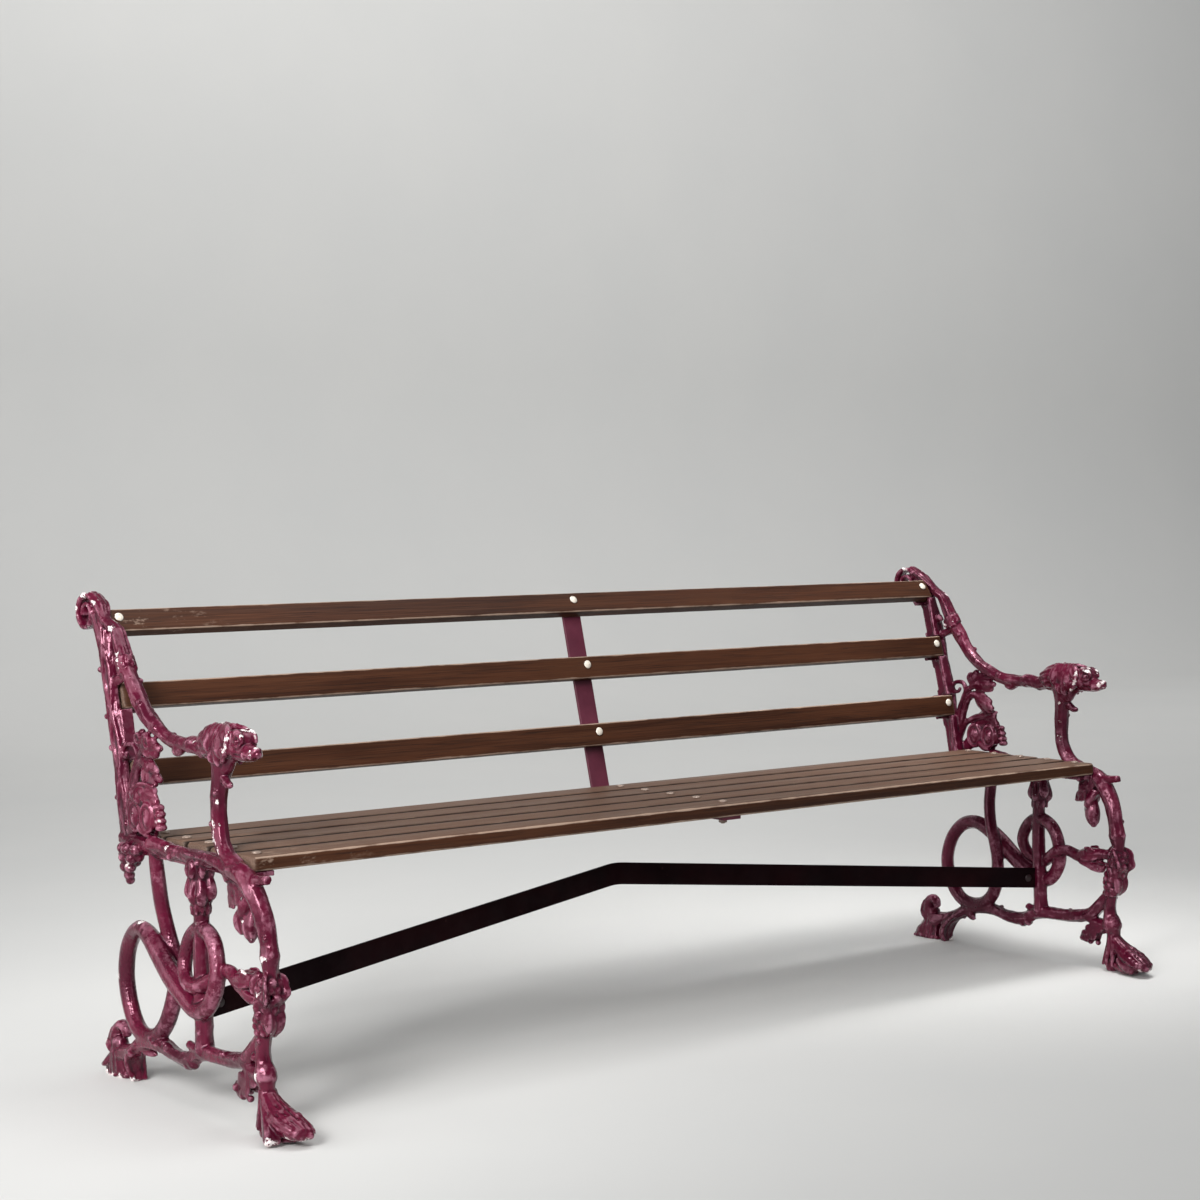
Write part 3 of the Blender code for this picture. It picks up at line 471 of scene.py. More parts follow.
def add_roots(clay):
    """The upright's gnarled outer side: one broad band, and roots that wind up it."""
    band = [(y, z, -2, 16, 9) for y, z in zip(UPRIGHT_PLACES, UPRIGHT_HEIGHTS)]
    clay.tube(band, relief=bark(1.1, 60))
    heights = np.arange(408, 788, 21)
    middle = np.interp(heights, UPRIGHT_HEIGHTS, UPRIGHT_PLACES)
    for number in range(3):
        sway = heights / 52 + TAU * number / 3
        places = zip(middle + 11 * np.sin(sway), heights, -9 - 2 * np.cos(2 * sway))
        clay.tube([(y, z, o, 4.6) for y, z, o in places], relief=bark(0.9, 61 + number), sides=14)


# The arm's sleeve of rolled bark, which ends in a scroll, as (y, z, o, half size beside, half size across)
SLEEVE = (
    (330, 816, 3, 7, 11), (317, 808, 3, 9, 12), (297, 797, 2, 9, 12), (275, 777, -3, 9, 7.5),
    (256, 766, 0, 8.5, 10), (239, 757, 1, 8.5, 10.5), (227, 737, 1, 11, 11), (214, 713, 1, 14, 11.5),
    (206, 700, 1, 15.5, 12.5),
)
SCROLL_CENTRE = (340, 785)
SCROLL_OFFSET = 4


def add_sleeve(clay):
    clay.tube(SLEEVE, relief=bark(1.7, 75), square=0.85, sides=40)
    for side in (-1, 1):
        lip = [(y - 0.45 * beside, z + 0.35 * beside, o + side * across, 2.8)
               for y, z, o, beside, across in SLEEVE]
        clay.tube(lip, relief=bark(1.0, 77 + side), sides=12)
    for number in range(11):
        angle = TAU * number / 11
        drop = 7 + 5 * sin(5 * number)
        fore = 15 * cos(angle)
        side = 12.5 * sin(angle)
        top = (213 + 0.85 * fore, 712 - 0.52 * fore, 1 + side, 5.5, 4)
        tip = (207 - 0.52 * drop + 0.87 * fore, 702 - 0.85 * drop - 0.53 * fore, 1 + 1.08 * side, 5, 3.6)
        clay.tube((top, tip), sides=12)


def add_scroll(clay):
    turns = np.linspace(radians(135), radians(-365), 26)
    radii = np.linspace(32.5, 11.0, 26)
    wide = np.linspace(11.5, 9.0, 26)
    y, z = SCROLL_CENTRE
    sheet = [(y + r * cos(a), z + r * sin(a), SCROLL_OFFSET, 4.6, w)
             for a, r, w in zip(turns, radii, wide)]
    clay.tube(sheet, relief=bark(0.9, 90), square=0.7)
    for side in (-1, 1):
        rim = [(y + (r + 1) * cos(a), z + (r + 1) * sin(a), SCROLL_OFFSET + side * w * 0.9, 4.0)
               for a, r, w in zip(turns, radii, wide)]
        clay.tube(rim, relief=bark(0.9, 92 + side), sides=14)


# End frame: hound's head

HEAD_OFFSET = 2


def add_head(clay):
    """Skull and neck, a domed forehead that steps down to a short blunt muzzle, and a ruff behind."""
    middle = HEAD_OFFSET
    clay.ball((-107, 603, middle), 27.5, (1.05, 1.0, 0.8))
    clay.ball((-74, 597, middle), 19, (1.2, 0.95, 0.95))
    clay.ball((-146, 598, middle), 20, (1.35, 1.0, 0.95))
    clay.ball((-168, 605, middle), 19.5, (1.12, 1.0, 0.92))
    clay.tube(((-150, 593, middle, 18, 18), (-172, 590, middle, 15, 16.5), (-188, 590, middle, 13.5, 14),
               (-200, 590, middle, 11.5, 12.5), (-209, 589.5, middle, 9.5, 11)))
    clay.tube(((-140, 585, middle, 10, 14), (-168, 581.5, middle, 7, 12.5), (-188, 580.5, middle, 5.5, 10.5),
               (-201, 580.5, middle, 4, 7.5)))
    clay.ball((-212, 590.5, middle), 8.5, (0.95, 1.15, 1.05))
    clay.tube(((-148, 580, middle, 8), (-134, 574, middle, 10), (-118, 560, middle, 13)))
    for side in (-1, 1):
        brow = [(-160, 618, middle + 9 * side, 5), (-173, 619, middle + 11.5 * side, 6.2),
                (-184, 613, middle + 12.5 * side, 5), (-189, 605, middle + 12.5 * side, 3)]
        clay.tube(brow)
        clay.ball((-178, 606, middle + 15.5 * side), 5)
        clay.tube(((-170, 601, middle + 17 * side, 2.4), (-178, 599, middle + 17 * side, 2.4),
                   (-186, 601, middle + 15 * side, 1.8)), sides=10)
        clay.ball((-163, 592, middle + 14 * side), 10, (1.2, 1.0, 0.7))
        clay.ball((-194, 586.5, middle + 9 * side), 9, (1.4, 0.9, 0.8))
        clay.ball((-205, 586.5, middle + 7 * side), 7.5, (1.2, 0.95, 0.8))
        add_ear(clay, middle, side)
    for number in range(14):
        angle = TAU * number / 14
        side = 21 * sin(angle)
        rise = 24 * cos(angle)
        start = (-90, 600 + rise, middle + side, 6)
        end = (-58 - 4 * cos(3 * angle), 594 + 0.68 * rise, middle + 0.72 * side, 3)
        clay.tube((start, (-75, 597 + 0.92 * rise, middle + side, 5.5), end), sides=12)


def add_ear(clay, middle, side):
    """A long ear of wavy locks that hangs from the crown beside the cheek, with a roll along its front."""
    locks = ((-92, 588, 7), (-102, 578, 8), (-114, 569, 9), (-126, 566, 9), (-138, 571, 8.5), (-148, 582, 7))
    for number, (y, low, width) in enumerate(locks):
        wave = 2.5 * sin(2.1 * number)
        top = (-120 + 0.55 * (y + 120), 626, middle + 9 * side, 6, 5)
        shoulder = (-120 + 0.88 * (y + 120), 614, middle + 19 * side, width, 6)
        waist = (y + wave, 0.5 * (614 + low), middle + (22 + wave) * side, width, 6)
        hem = (y - wave, low + 8, middle + (21 - wave) * side, width * 0.8, 5.5)
        tip = (y - 3 + wave, low, middle + 20 * side, 3, 3)
        clay.tube((top, shoulder, waist, hem, tip), sides=14, relief=bark(0.6, 100 + number))
    clay.leaf(((-122, 622, middle + 11 * side, 14), (-120, 606, middle + 18 * side, 26),
               (-120, 588, middle + 19 * side, 26), (-122, 572, middle + 18 * side, 13)), thick=10, vein=0.0)
    clay.tube(((-138, 626, middle + 9 * side, 4.5), (-153, 620, middle + 16 * side, 5.5),
               (-157, 604, middle + 20 * side, 5.5), (-153, 588, middle + 22 * side, 5),
               (-144, 575, middle + 21 * side, 3.5)), sides=14)


# End frame: serpent

# The serpent's body from its tail, as (y, z, o, radius)
SERPENT = (
    (100, 402, -6, 11.5), (97, 360, -3, 12.5), (96, 315, 3, 12.5), (86, 270, 9, 12.5), (72, 233, 12, 13),
    (65, 197, 11, 13), (68, 161, 8, 14), (83, 121, 3, 14), (110, 96, 1, 14), (144, 88, 0, 14),
    (179, 98, 1, 14), (206, 131, 2, 14), (219, 177, 2, 14), (208, 225, 0, 14), (180, 258, -2, 14),
    (146, 268, -5, 14), (112, 258, -8, 16), (77, 236, -10, 17.5), (38, 206, -10, 18), (0, 182, -9, 17),
    (-36, 164, -9, 14.5), (-70, 173, -8, 14), (-92, 205, -6, 14), (-94, 243, -3, 13.5), (-78, 280, -1, 13.5),
    (-44, 296, -1, 13), (-11, 280, -1, 13), (6, 247, -3, 12.5), (-2, 218, -10, 12), (-28, 204, -15, 12),
    (-52, 206, -10, 11.5), (-72, 218, 0, 11.5), (-95, 232, 6, 11.5), (-122, 237, 4, 11), (-148, 229, 1, 12),
    (-164, 228, 0, 14),
)


def add_serpent(clay):
    clay.tube(SERPENT, seam=0.09, steps=8, sides=28)
    clay.tube(((-158, 229, 0, 13, 14), (-178, 233, 0, 16, 16), (-196, 236, 0, 14, 15),
               (-216, 239, -1, 11.5, 12.5), (-232, 238, -1, 9.5, 9.5), (-241, 235, -1, 6, 6)),
              relief=bark(0.9, 120))
    clay.tube(((-162, 222, 0, 11, 13), (-180, 216, 0, 11, 13), (-195, 211, -1, 11.5, 12),
               (-208, 209, -1, 10, 9.5), (-217, 212, -1, 5.5, 6)), relief=bark(0.9, 121))
    clay.tube(((-180, 223, 0, 3, 6), (-205, 222, 0, 2.5, 5), (-234, 220, -1, 2.5, 4)))
    for side in (-1, 1):
        clay.ball((-186, 244, 12 * side), 4.5)
        clay.tube(((-175, 249, 10 * side, 3), (-187, 250, 13 * side, 3.4), (-198, 246, 12 * side, 2.4)))
        clay.tube(((-168, 226, 11 * side, 5), (-184, 226, 13 * side, 4.5), (-206, 231, 11 * side, 3)))


# End frame: vine, capital and grapes

# Ovals on both faces of the lowest leaf, as (y, z, half breadth, half height)
LOW_OVALS = ((145, 458, 15, 23), (104, 459, 14, 22))
LOW_OVALS_OFFSET = -10
LOW_OVALS_DEPTH = 8

# A folded lobe, as shares of its length with its breadth and depth there as shares of its size
LOBE = ((0.0, 0.6, 0.6), (0.4, 0.95, 0.75), (0.75, 1.0, 0.75), (1.0, 0.65, 0.55))


def add_fan(clay, root, tips, size, seed):
    """A thick leaf of folded lobes that spread from a root, each to a tip at (y, z, o)."""
    root = np.array(root, float)
    for number, tip in enumerate(tips):
        reach = np.array(tip, float) - root
        lobe = [(*(root + reach * share), size * wide, size * deep) for share, wide, deep in LOBE]
        clay.tube(lobe, relief=bark(0.8, seed + number), sides=16)


def add_vine(clay):
    """Three leaves on the vine: a fan under the arm, a drooping one, and a hooded pair of ovals below."""
    upper = ((158, 592, -3), (142, 598, -5), (120, 594, -7), (100, 585, -6), (88, 573, -1), (96, 563, -3),
             (114, 561, -5))
    add_fan(clay, (150, 570, 0), upper, 10, 240)
    for y, z in ((147, 586), (118, 582)):
        loop = [(y + 8 * cos(a), z + 8 * sin(a), -10 - 0.4 * a, 3.6)
                for a in np.linspace(-2.6, 3.0, 12)]
        clay.tube(loop, sides=12)
    droop = ((112, 544, -2), (98, 534, -2), (91, 520, 0), (101, 512, -3), (114, 510, -8), (128, 518, -9))
    add_fan(clay, (140, 546, 0), droop, 8.5, 250)
    hood = ((112, 507, -12), (92, 504, -9), (90, 493, -9), (104, 486, -13), (130, 484, -19), (155, 492, -19))
    add_fan(clay, (140, 499, -18), hood, 9, 260)
    clay.tube(((150, 502, -22, 3), (132, 512, -20, 3.2), (112, 514, -17, 3.2), (92, 511, -14, 3)), sides=12)
    clay.tube(((180, 428, -8, 10, 8), (154, 446, -9, 17, 8), (118, 458, -10, 22, 8), (84, 460, -10, 17, 7)))
    clay.tube(((156, 476, -11, 10, 7), (118, 484, -11, 11, 7), (86, 485, -10, 9, 6)))
    for side in (-1, 1):
        face = LOW_OVALS_OFFSET + LOW_OVALS_DEPTH * side
        for y, z, wide, high in LOW_OVALS:
            clay.ball((y, z, face - 2 * side), 1.0, (wide * 0.8, high * 0.85, 9))
            rim = [(y + wide * cos(a), z + high * sin(a), face + 2.5 * side * cos(a), 4.2)
                   for a in np.linspace(-4.2, 1.9, 16)]
            clay.tube(rim, sides=12, relief=bark(0.7, 270))
        clay.tube(((126, 442, face, 8), (116, 434, face, 7), (104, 432, face, 5)), relief=bark(0.8, 273))
    for y, z in ((78, 478), (74, 467), (72, 456), (70, 446)):
        clay.ball((y, z, -11), 8.5, (1.1, 0.75, 1.2))


def add_capital(clay):
    """A leafy block under the seat rail, drooping lobes below it, and a ruffle round the neck."""
    y, o = -42, -2
    clay.tube(((y, 404, o, 26, 18), (y, 391, o, 23, 17), (y, 377, o, 18, 15)), relief=bark(1.3, 130))
    for number in range(7):
        angle = TAU * number / 7
        fore = cos(angle)
        side = 0.85 * sin(angle)
        leaf = [(y + reach * fore, z, o + reach * side, radius)
                for reach, z, radius in ((18, 402, 7), (21, 390, 7), (22, 381, 4))]
        clay.tube(leaf, relief=bark(0.8, 131 + number), sides=14)
    for number in range(6):
        angle = TAU * (number + 0.5) / 6
        fore = cos(angle)
        side = 0.85 * sin(angle)
        size = 1 + 0.12 * sin(4.1 * number)
        low = 6 * sin(2.3 * number)
        lobe = []
        for reach, z, radius in ((11, 384, 6), (15, 368, 8), (18, 352, 9.5), (18, 344, 8), (16, 338, 5)):
            lobe.append((y + reach * fore * size, z - low, o + reach * side * size, radius * size))
        clay.tube(lobe, relief=bark(0.7, 140 + number), sides=18)
    for number in range(9):
        angle = TAU * number / 9
        frill = [(y + 1 + reach * cos(angle), z, o + 0.9 * reach * sin(angle), radius)
                 for reach, z, radius in ((11, 340, 4.5), (14.5, 330, 4.5), (16, 321, 2.6))]
        clay.tube(frill, sides=12)


def add_leg_ornament(clay):
    clay.leaf(((-184, 394, -6, 10), (-172, 380, -8, 23), (-158, 366, -8, 24), (-147, 353, -6, 15),
               (-138, 343, -3, 3)), notch=0.35, cup=-0.15, thick=9)
    clay.leaf(((-188, 392, 7, 8), (-178, 374, 9, 17), (-166, 360, 9, 15), (-156, 346, 6, 3)), thick=8)
    clay.tube(((-196, 380, -2, 6), (-192, 360, 0, 6), (-190, 349, 2, 8), (-188, 333, 3, 14),
               (-188, 318, 3, 15), (-190, 304, 3, 11), (-191, 297, 3, 6)), relief=bark(1.0, 150))
    clay.tube(((-190, 362, -4, 6), (-179, 347, -5, 8), (-173, 333, -6, 10.5), (-174, 320, -6, 10.5),
               (-178, 309, -5, 6)), relief=bark(1.0, 151))
    for side in (-1, 1):
        clay.tube(((-197, 366, 1 + 6 * side, 7), (-186, 350, 2 + 10 * side, 9),
                   (-180, 338, 2 + 12 * side, 5)), relief=bark(0.8, 153 + side))
    clay.leaf(((-222, 100, -3, 9), (-204, 86, -8, 20), (-184, 72, -9, 22), (-168, 62, -7, 17),
               (-154, 54, -4, 5)), notch=0.4, cup=-0.15, thick=9)
    clay.leaf(((-220, 96, 4, 8), (-200, 82, 6, 16), (-180, 68, 6, 17), (-160, 58, 4, 5)), notch=0.4, thick=9)
    clay.ball((-163, 64, -9), 8)
    clay.ball((-178, 53, -6), 7)
    clay.ball((-198, 52, -6), 6)


def add_leg_cluster(clay):
    """Grapes packed round the leg, under a drape of leaves, with two leaves that hang below."""
    draw = np.random.default_rng(7)
    for row in range(9):
        z = 240 - 9.6 * row
        middle = np.interp(z, (150, 180, 215, 255), (-234, -240, -248, -252))
        ring = np.interp(z, (150, 170, 195, 225, 245), (11, 15, 17.5, 18, 13))
        for turn in range(8):
            angle = TAU * (turn + 0.5 * (row % 2)) / 8 + draw.uniform(-0.22, 0.22)
            reach = ring + draw.uniform(-2.5, 0.5)
            size = draw.uniform(6.4, 8.4)
            place = (middle + reach * cos(angle), z + draw.uniform(-3, 3), -2 + reach * sin(angle))
            clay.ball(place, size, sides=12)
    clay.leaf(((-254, 256, -10, 8), (-264, 240, -17, 13), (-268, 222, -19, 12), (-264, 206, -18, 3)),
              turn=40, lobes=2, notch=0.3, thick=8)
    clay.leaf(((-246, 254, 10, 8), (-258, 240, 15, 12), (-266, 226, 16, 10), (-268, 214, 14, 3)),
              turn=-40, lobes=2, notch=0.3, thick=8)
    for side in (-1, 1):
        clay.tube(((-252, 202, 8 * side, 7, 8), (-260, 190, 9 * side, 8, 10), (-260, 174, 8 * side, 7.5, 9),
                   (-252, 160, 5 * side, 4, 4)), relief=bark(1.0, 162 + side))
        clay.tube(((-256, 214, 11 * side, 7), (-260, 205, 12 * side, 7.5), (-258, 194, 11 * side, 6)),
                  relief=bark(1.0, 165 + side))
    clay.tube(((-232, 250, -8, 9), (-224, 238, -13, 8), (-222, 224, -14, 5)), relief=bark(1.0, 160))


# The hanging bunch under the rear rail, as (y, z, o, radius)
GRAPES = (
    (138, 402, -22, 10), (158, 404, -27, 11), (178, 402, -24, 10), (147, 388, -24, 10.5),
    (168, 388, -26, 10.5), (187, 390, -18, 9), (154, 373, -23, 10), (171, 372, -23, 10),
    (161, 359, -21, 9.5), (150, 400, -12, 10), (172, 398, -12, 10), (158, 380, -12, 10),
    (162, 350, -19, 8), (176, 382, -14, 9), (140, 390, -14, 9),
)


def add_grapes(clay):
    for y, z, o, radius in GRAPES:
        clay.ball((y, z, o), radius)


# End frame: feet

# The paw's main mass, as (y, z, o, half height, half breadth)
PAW = ((-244, 64, -2, 11, 12), (-258, 51, -2, 14, 16), (-278, 39, -1, 16, 22), (-299, 30, 1, 17, 25),
       (-317, 24, 5, 14, 23), (-331, 20, 8, 9.5, 17))
# Lumps over the toes, as (y, z, o, radius)
PAW_KNUCKLES = ((-304, 41, -8, 9), (-316, 35, 6, 9.5), (-300, 42, 14, 8.5), (-286, 50, -10, 7),
                (-327, 26, -6, 8), (-334, 20, 14, 8), (-286, 48, 10, 7), (-322, 25, 22, 7))
# Ridges of fur along the paw, as degrees round it from its top
PAW_RIDGES = (-80, -55, -30, -6, 18, 42, 66, 88)


def add_paw(clay):
    """A lion's paw in one mass with ridges of fur, two low toes beside it and a fringe behind the ankle."""
    clay.tube(PAW)
    for number, turn in enumerate(np.radians(PAW_RIDGES)):
        ridge = [(y - 0.45 * high * cos(turn), z + 0.89 * high * cos(turn), o + wide * sin(turn), 3.6)
                 for y, z, o, high, wide in PAW]
        clay.tube(ridge, relief=bark(0.5, 180 + number), sides=12)
    for turn in (-7, 0, 7):
        clay.tube(((-248, 58, -9 + 0.4 * turn, 6, 6), (-264, 43, -14 + 0.7 * turn, 8, 7),
                   (-281, 27, -20 + turn, 9, 8), (-293, 15, -26 + turn, 9, 7.5),
                   (-299, 8, -28 + turn, 7, 6.5)), relief=bark(1.0, 192))
    clay.tube(((-270, 30, 12, 11, 9), (-291, 18, 18, 11, 9), (-306, 12, 20, 8, 8)), relief=bark(1.2, 193))
    clay.tube(((-256, 14, 0, 11, 14), (-284, 9, 4, 9, 17), (-302, 11, 7, 8, 15)))
    for y, z, o, radius in PAW_KNUCKLES:
        clay.ball((y, z, o), radius, (1.3, 0.8, 1.0))
    for number in range(7):
        angle = radians(35 * (number - 3))
        rear = cos(angle)
        side = sin(angle)
        strand = ((-242 + 10 * rear, 74, -2 + 11 * side, 3.6), (-246 + 14 * rear, 56, -1 + 14 * side, 4.4),
                  (-247 + 21 * rear, 35, 16 * side, 4.6), (-246 + 27 * rear, 14, 17 * side, 3))
        clay.tube(strand, sides=12, relief=bark(0.7, 170 + number))
    clay.tube(((-247, 52, -2, 12, 11), (-240, 26, -2, 13, 12), (-238, 6, -2, 12, 12)), relief=bark(0.9, 190))


def add_rear_foot(clay):
    """Leaves at the end of the bottom rail: one stands in front, a fan spreads behind, and one curls over."""
    front = ((168, 73, 0, 10, 12), (190, 58, 2, 9, 16), (209, 39, 7, 9, 18), (215, 19, 13, 9, 16),
             (210, 2, 16, 8, 12))
    clay.tube(front, relief=bark(1.0, 200))
    for side in (-1, 1):
        edge = [(y - 6, z + 1, o + side * across * 0.9, 4.2) for y, z, o, _, across in front]
        clay.tube(edge, relief=bark(0.8, 202 + side), sides=12)
    body = ((255, 60, 8, 15, 14), (255, 46, 8, 20, 15), (257, 31, 9, 25, 15), (260, 17, 11, 30, 15),
            (264, 6, 13, 35, 15), (265, 1, 13, 37, 15))
    clay.tube(body, relief=bark(0.4, 220), sides=32)
    for side in (-1, 1):
        for number in range(5):
            spread = (number - 2) / 2.5
            rib = [(y + beside * spread, z, o + side * across * sqrt(1 - spread ** 2), 1.8)
                   for y, z, o, beside, across in body[1:]]
            clay.tube(rib, relief=bark(0.5, 210 + number), sides=12)
    for number in range(14):
        angle = TAU * number / 14
        clay.ball((265 + 37 * cos(angle), 4 + 2 * sin(5 * number), 13 + 15 * sin(angle)), 4.2)
    clay.tube(((278, 30, 6, 9, 9), (292, 18, 2, 7, 9), (300, 14, 0, 4.5, 6)), relief=bark(0.9, 219))
    curl = ((258, 42, 8, 16, 15), (266, 54, 9, 16, 14), (267, 68, 10, 14.5, 13), (263, 80, 11, 12, 11.5),
            (253, 87, 11, 10, 11), (243, 83, 12, 9.5, 10), (239, 74, 12, 8, 8.5))
    clay.tube(curl, relief=bark(0.6, 221))
    for side in (-1, 1):
        rib = [(y + 0.8 * beside, z, o + side * across * 0.6, 4) for y, z, o, beside, across in curl[:4]]
        clay.tube(rib, sides=12, relief=bark(0.6, 223 + side))
        clay.tube(((268, 45, 8 + 6 * side, 9, 8), (276, 54, 8 + 9 * side, 8.5, 7),
                   (281, 58, 8 + 10 * side, 4.5, 4)), relief=bark(0.8, 226 + side))
    clay.tube(((156, 68, 1, 10), (145, 63, 5, 9), (136, 60, 8, 6), (130, 59, 9, 2.5)), relief=bark(0.8, 228))


# Skin over the clay

def new_object(name, data):
    obj = bpy.data.objects.new(name, data)
    bpy.context.scene.collection.objects.link(obj)
    return obj


def modified(mesh, kind, **settings):
    """A new mesh: the given one with a modifier applied."""
    obj = new_object("clay", mesh)
    modifier = obj.modifiers.new("skin", kind)
    for key, value in settings.items():
        setattr(modifier, key, value)
    bpy.context.view_layer.update()
    graph = bpy.context.evaluated_depsgraph_get()
    result = bpy.data.meshes.new_from_object(obj.evaluated_get(graph))
    bpy.data.objects.remove(obj)
    return result


def thinned(mesh):
    """The mesh, with fewer triangles where it has more than a piece may have."""
    mesh.calc_loop_triangles()
    count = len(mesh.loop_triangles)
    if count <= MOST_TRIANGLES:
        return mesh
    return modified(mesh, "DECIMATE", ratio=MOST_TRIANGLES / count)


def read(items, key, width=3, kind=float):
    """One property of all items, a row for each."""
    values = np.empty(len(items) * width, kind)
    items.foreach_get(key, values)
    return values.reshape(-1, width)


def read_surface(mesh):
    """Points and normals, and the points again in the millimetres of the side drawing."""
    points = read(mesh.vertices, "co")
    return points, read(mesh.vertex_normals, "vector"), points[:, [1, 2, 0]] / MM


def read_edges(mesh):
    return read(mesh.edges, "vertices", 2, np.int64)


def set_points(mesh, points):
    mesh.vertices.foreach_set("co", points.ravel())
    mesh.update()


def neighbour_mean(values, edges):
    """Mean of each point's neighbours along the edges."""
    count = len(values)
    first, second = edges.T
    degree = np.bincount(first, minlength=count) + np.bincount(second, minlength=count)
    total = np.empty_like(values)
    for column in range(values.shape[1]):
        total[:, column] = np.bincount(first, values[second, column], count)
        total[:, column] += np.bincount(second, values[first, column], count)
    return total / degree[:, None]


def relief_of(points, normals, edges, rounds):
    """How far each point stands out of a smoothed copy, in millimetres: ridges plus, hollows minus."""
    smooth = points
    for _ in range(rounds):
        smooth = neighbour_mean(smooth, edges)
    return np.einsum("ij,ij->i", points - smooth, normals) / MM


def soften(mesh):
    """Rounds the hollows where shells meet, as a foundry fillet does, then eases the whole skin a little."""
    edges = read_edges(mesh)
    points = read(mesh.vertices, "co")
    for _ in range(FILLET_ROUNDS):
        normals = read(mesh.vertex_normals, "vector")
        hollow = np.clip(-relief_of(points, normals, edges, 2) / FILLET_FULL, 0, 1)[:, None]
        points = points + SMOOTH_STEP * hollow * (neighbour_mean(points, edges) - points)
        set_points(mesh, points)
    for _ in range(SMOOTH_ROUNDS):
        points = points + SMOOTH_STEP * (neighbour_mean(points, edges) - points)
        points = points - SMOOTH_BACK * (neighbour_mean(points, edges) - points)
    set_points(mesh, points)


def roughen(mesh):
    """Uneven bark: ridges and pits a few millimetres apart, drawn out upwards, and fine on the serpent."""
    points, normals, drawing = read_surface(mesh)
    calm = 1 - 0.85 * route_nearness(drawing, SERPENT)
    stretch = np.array((1 / ROUGH_SPAN, 1 / (ROUGH_RISE * ROUGH_SPAN), 1 / ROUGH_SPAN))
    places = map(Vector, drawing * stretch)
    height = [abs(noise.noise(place)) + 0.5 * noise.noise(2.3 * place) for place in places]
    depth = ROUGH_DEPTH * calm * (0.25 - np.array(height))
    set_points(mesh, points + normals * (depth * MM)[:, None])


def head_grooves():
    """Mouth, nostrils and eye sockets, as routes of (y, z, o) with a width and a depth in millimetres."""
    middle = HEAD_OFFSET
    for side in (-1, 1):
        yield ((-212, 583, middle + 3 * side), (-204, 583, middle + 10 * side),
               (-188, 583.5, middle + 13 * side), (-170, 586, middle + 15 * side)), 2.0, 2.6
        yield ((-220, 593, middle + 3 * side), (-218, 591, middle + 6 * side)), 1.8, 2.4
        socket = [(-178 + 7.5 * cos(a), 606 + 6 * sin(a), middle + 17 * side)
                  for a in np.linspace(0, TAU, 9)]
        yield socket, 1.8, 1.8
    yield ((-221, 597, middle), (-219, 583, middle)), 1.3, 1.2


def press_grooves(mesh):
    """Presses the head's grooves into the skin."""
    points, normals, drawing = read_surface(mesh)
    for route, width, depth in head_grooves():
        samples = spline(route, 12)
        low = samples.min(axis=0) - GROOVE_REACH
        high = samples.max(axis=0) + GROOVE_REACH
        near = np.flatnonzero(((drawing > low) & (drawing < high)).all(axis=1))
        gaps = np.linalg.norm(drawing[near, None] - samples[None], axis=2).min(axis=1)
        points[near] -= normals[near] * (depth * MM * np.exp(-(gaps / width) ** 2))[:, None]
    set_points(mesh, points)


# Places where the paint is knocked off, as (y, z, o, radius)
CHIPS = (
    (-212, 599, 2, 9), (-209, 592, 13, 9), (-209, 592, -9, 9), (-174, 625, 2, 13), (-184, 616, 13, 10),
    (-184, 616, -9, 9), (-158, 610, 23, 12), (-158, 610, -19, 12), (-156, 594, 25, 12),
    (-156, 594, -21, 12), (-146, 580, 25, 9), (-165, 622, 12, 10), (-106, 630, 2, 10),
    (-106, 470, -12, 18), (-112, 505, -12, 13), (-122, 428, -14, 14), (340, 820, -6, 22),
    (372, 790, -4, 17), (322, 758, -4, 16), (300, 806, -10, 14), (240, 762, -10, 14), (340, 820, 15, 18),
    (215, 716, -12, 16), (204, 700, -12, 13), (216, 697, 12, 13), (196, 706, 6, 13), (-303, 6, -34, 18),
    (-318, 16, -16, 12), (-336, 16, 6, 12), (-328, 16, 24, 12), (-290, 36, -20, 11), (290, 3, 2, 18),
    (266, 2, -4, 18), (244, 2, 2, 16), (206, 3, 6, 14), (282, 56, -4, 12), (262, 640, -12, 10),
    (240, 540, -12, 10), (-195, 250, -12, 12), (-252, 278, -14, 12), (150, 380, -32, 12),
    (100, 417, -12, 13), (-104, 455, -12, 15), (-109, 443, -12, 14), (-30, 598, -8, 9),
    (-43, 392, -16, 10), (-186, 330, -10, 10), (40, 416, -16, 11), (-44, 306, -8, 12),
    (146, 282, -10, 13), (220, 180, -12, 13), (-250, 225, -20, 13), (-236, 95, -18, 12),
    (64, 460, -20, 12), (-110, 549, 13, 13), (-108, 473, 13, 15), (-108, 507, 13, 11),
    (-154, 596, 24, 16), (-180, 617, 14, 14), (-211, 591, 10, 12),
)


def nearness(drawing, spots):
    """For each point, 1 at the middle of the nearest spot, falling to 0 at its radius."""
    value = np.zeros(len(drawing))
    for y, z, o, radius in spots:
        gap = np.linalg.norm(drawing - np.array((y, z, o), float), axis=1)
        value = np.maximum(value, np.clip(1 - gap / radius, 0, 1))
    return value


def route_nearness(drawing, stations):
    """1 on the surface of a tube through the stations, 0 a few millimetres off it."""
    samples = spline(stations, 4)
    value = np.zeros(len(drawing))
    for start in range(0, len(drawing), CHUNK):
        part = drawing[start:start + CHUNK]
        gap = np.linalg.norm(part[:, None] - samples[None, :, :3], axis=2) - samples[None, :, 3]
        value[start:start + CHUNK] = np.clip(1.6 - gap.min(axis=1) / 2.5, 0, 1)
    return value


def add_attribute(mesh, name, values):
    """A number at every point, which the paint can read."""
    layer = mesh.attributes.new(name, "FLOAT", "POINT")
    layer.data.foreach_set("value", np.asarray(values, np.float32))


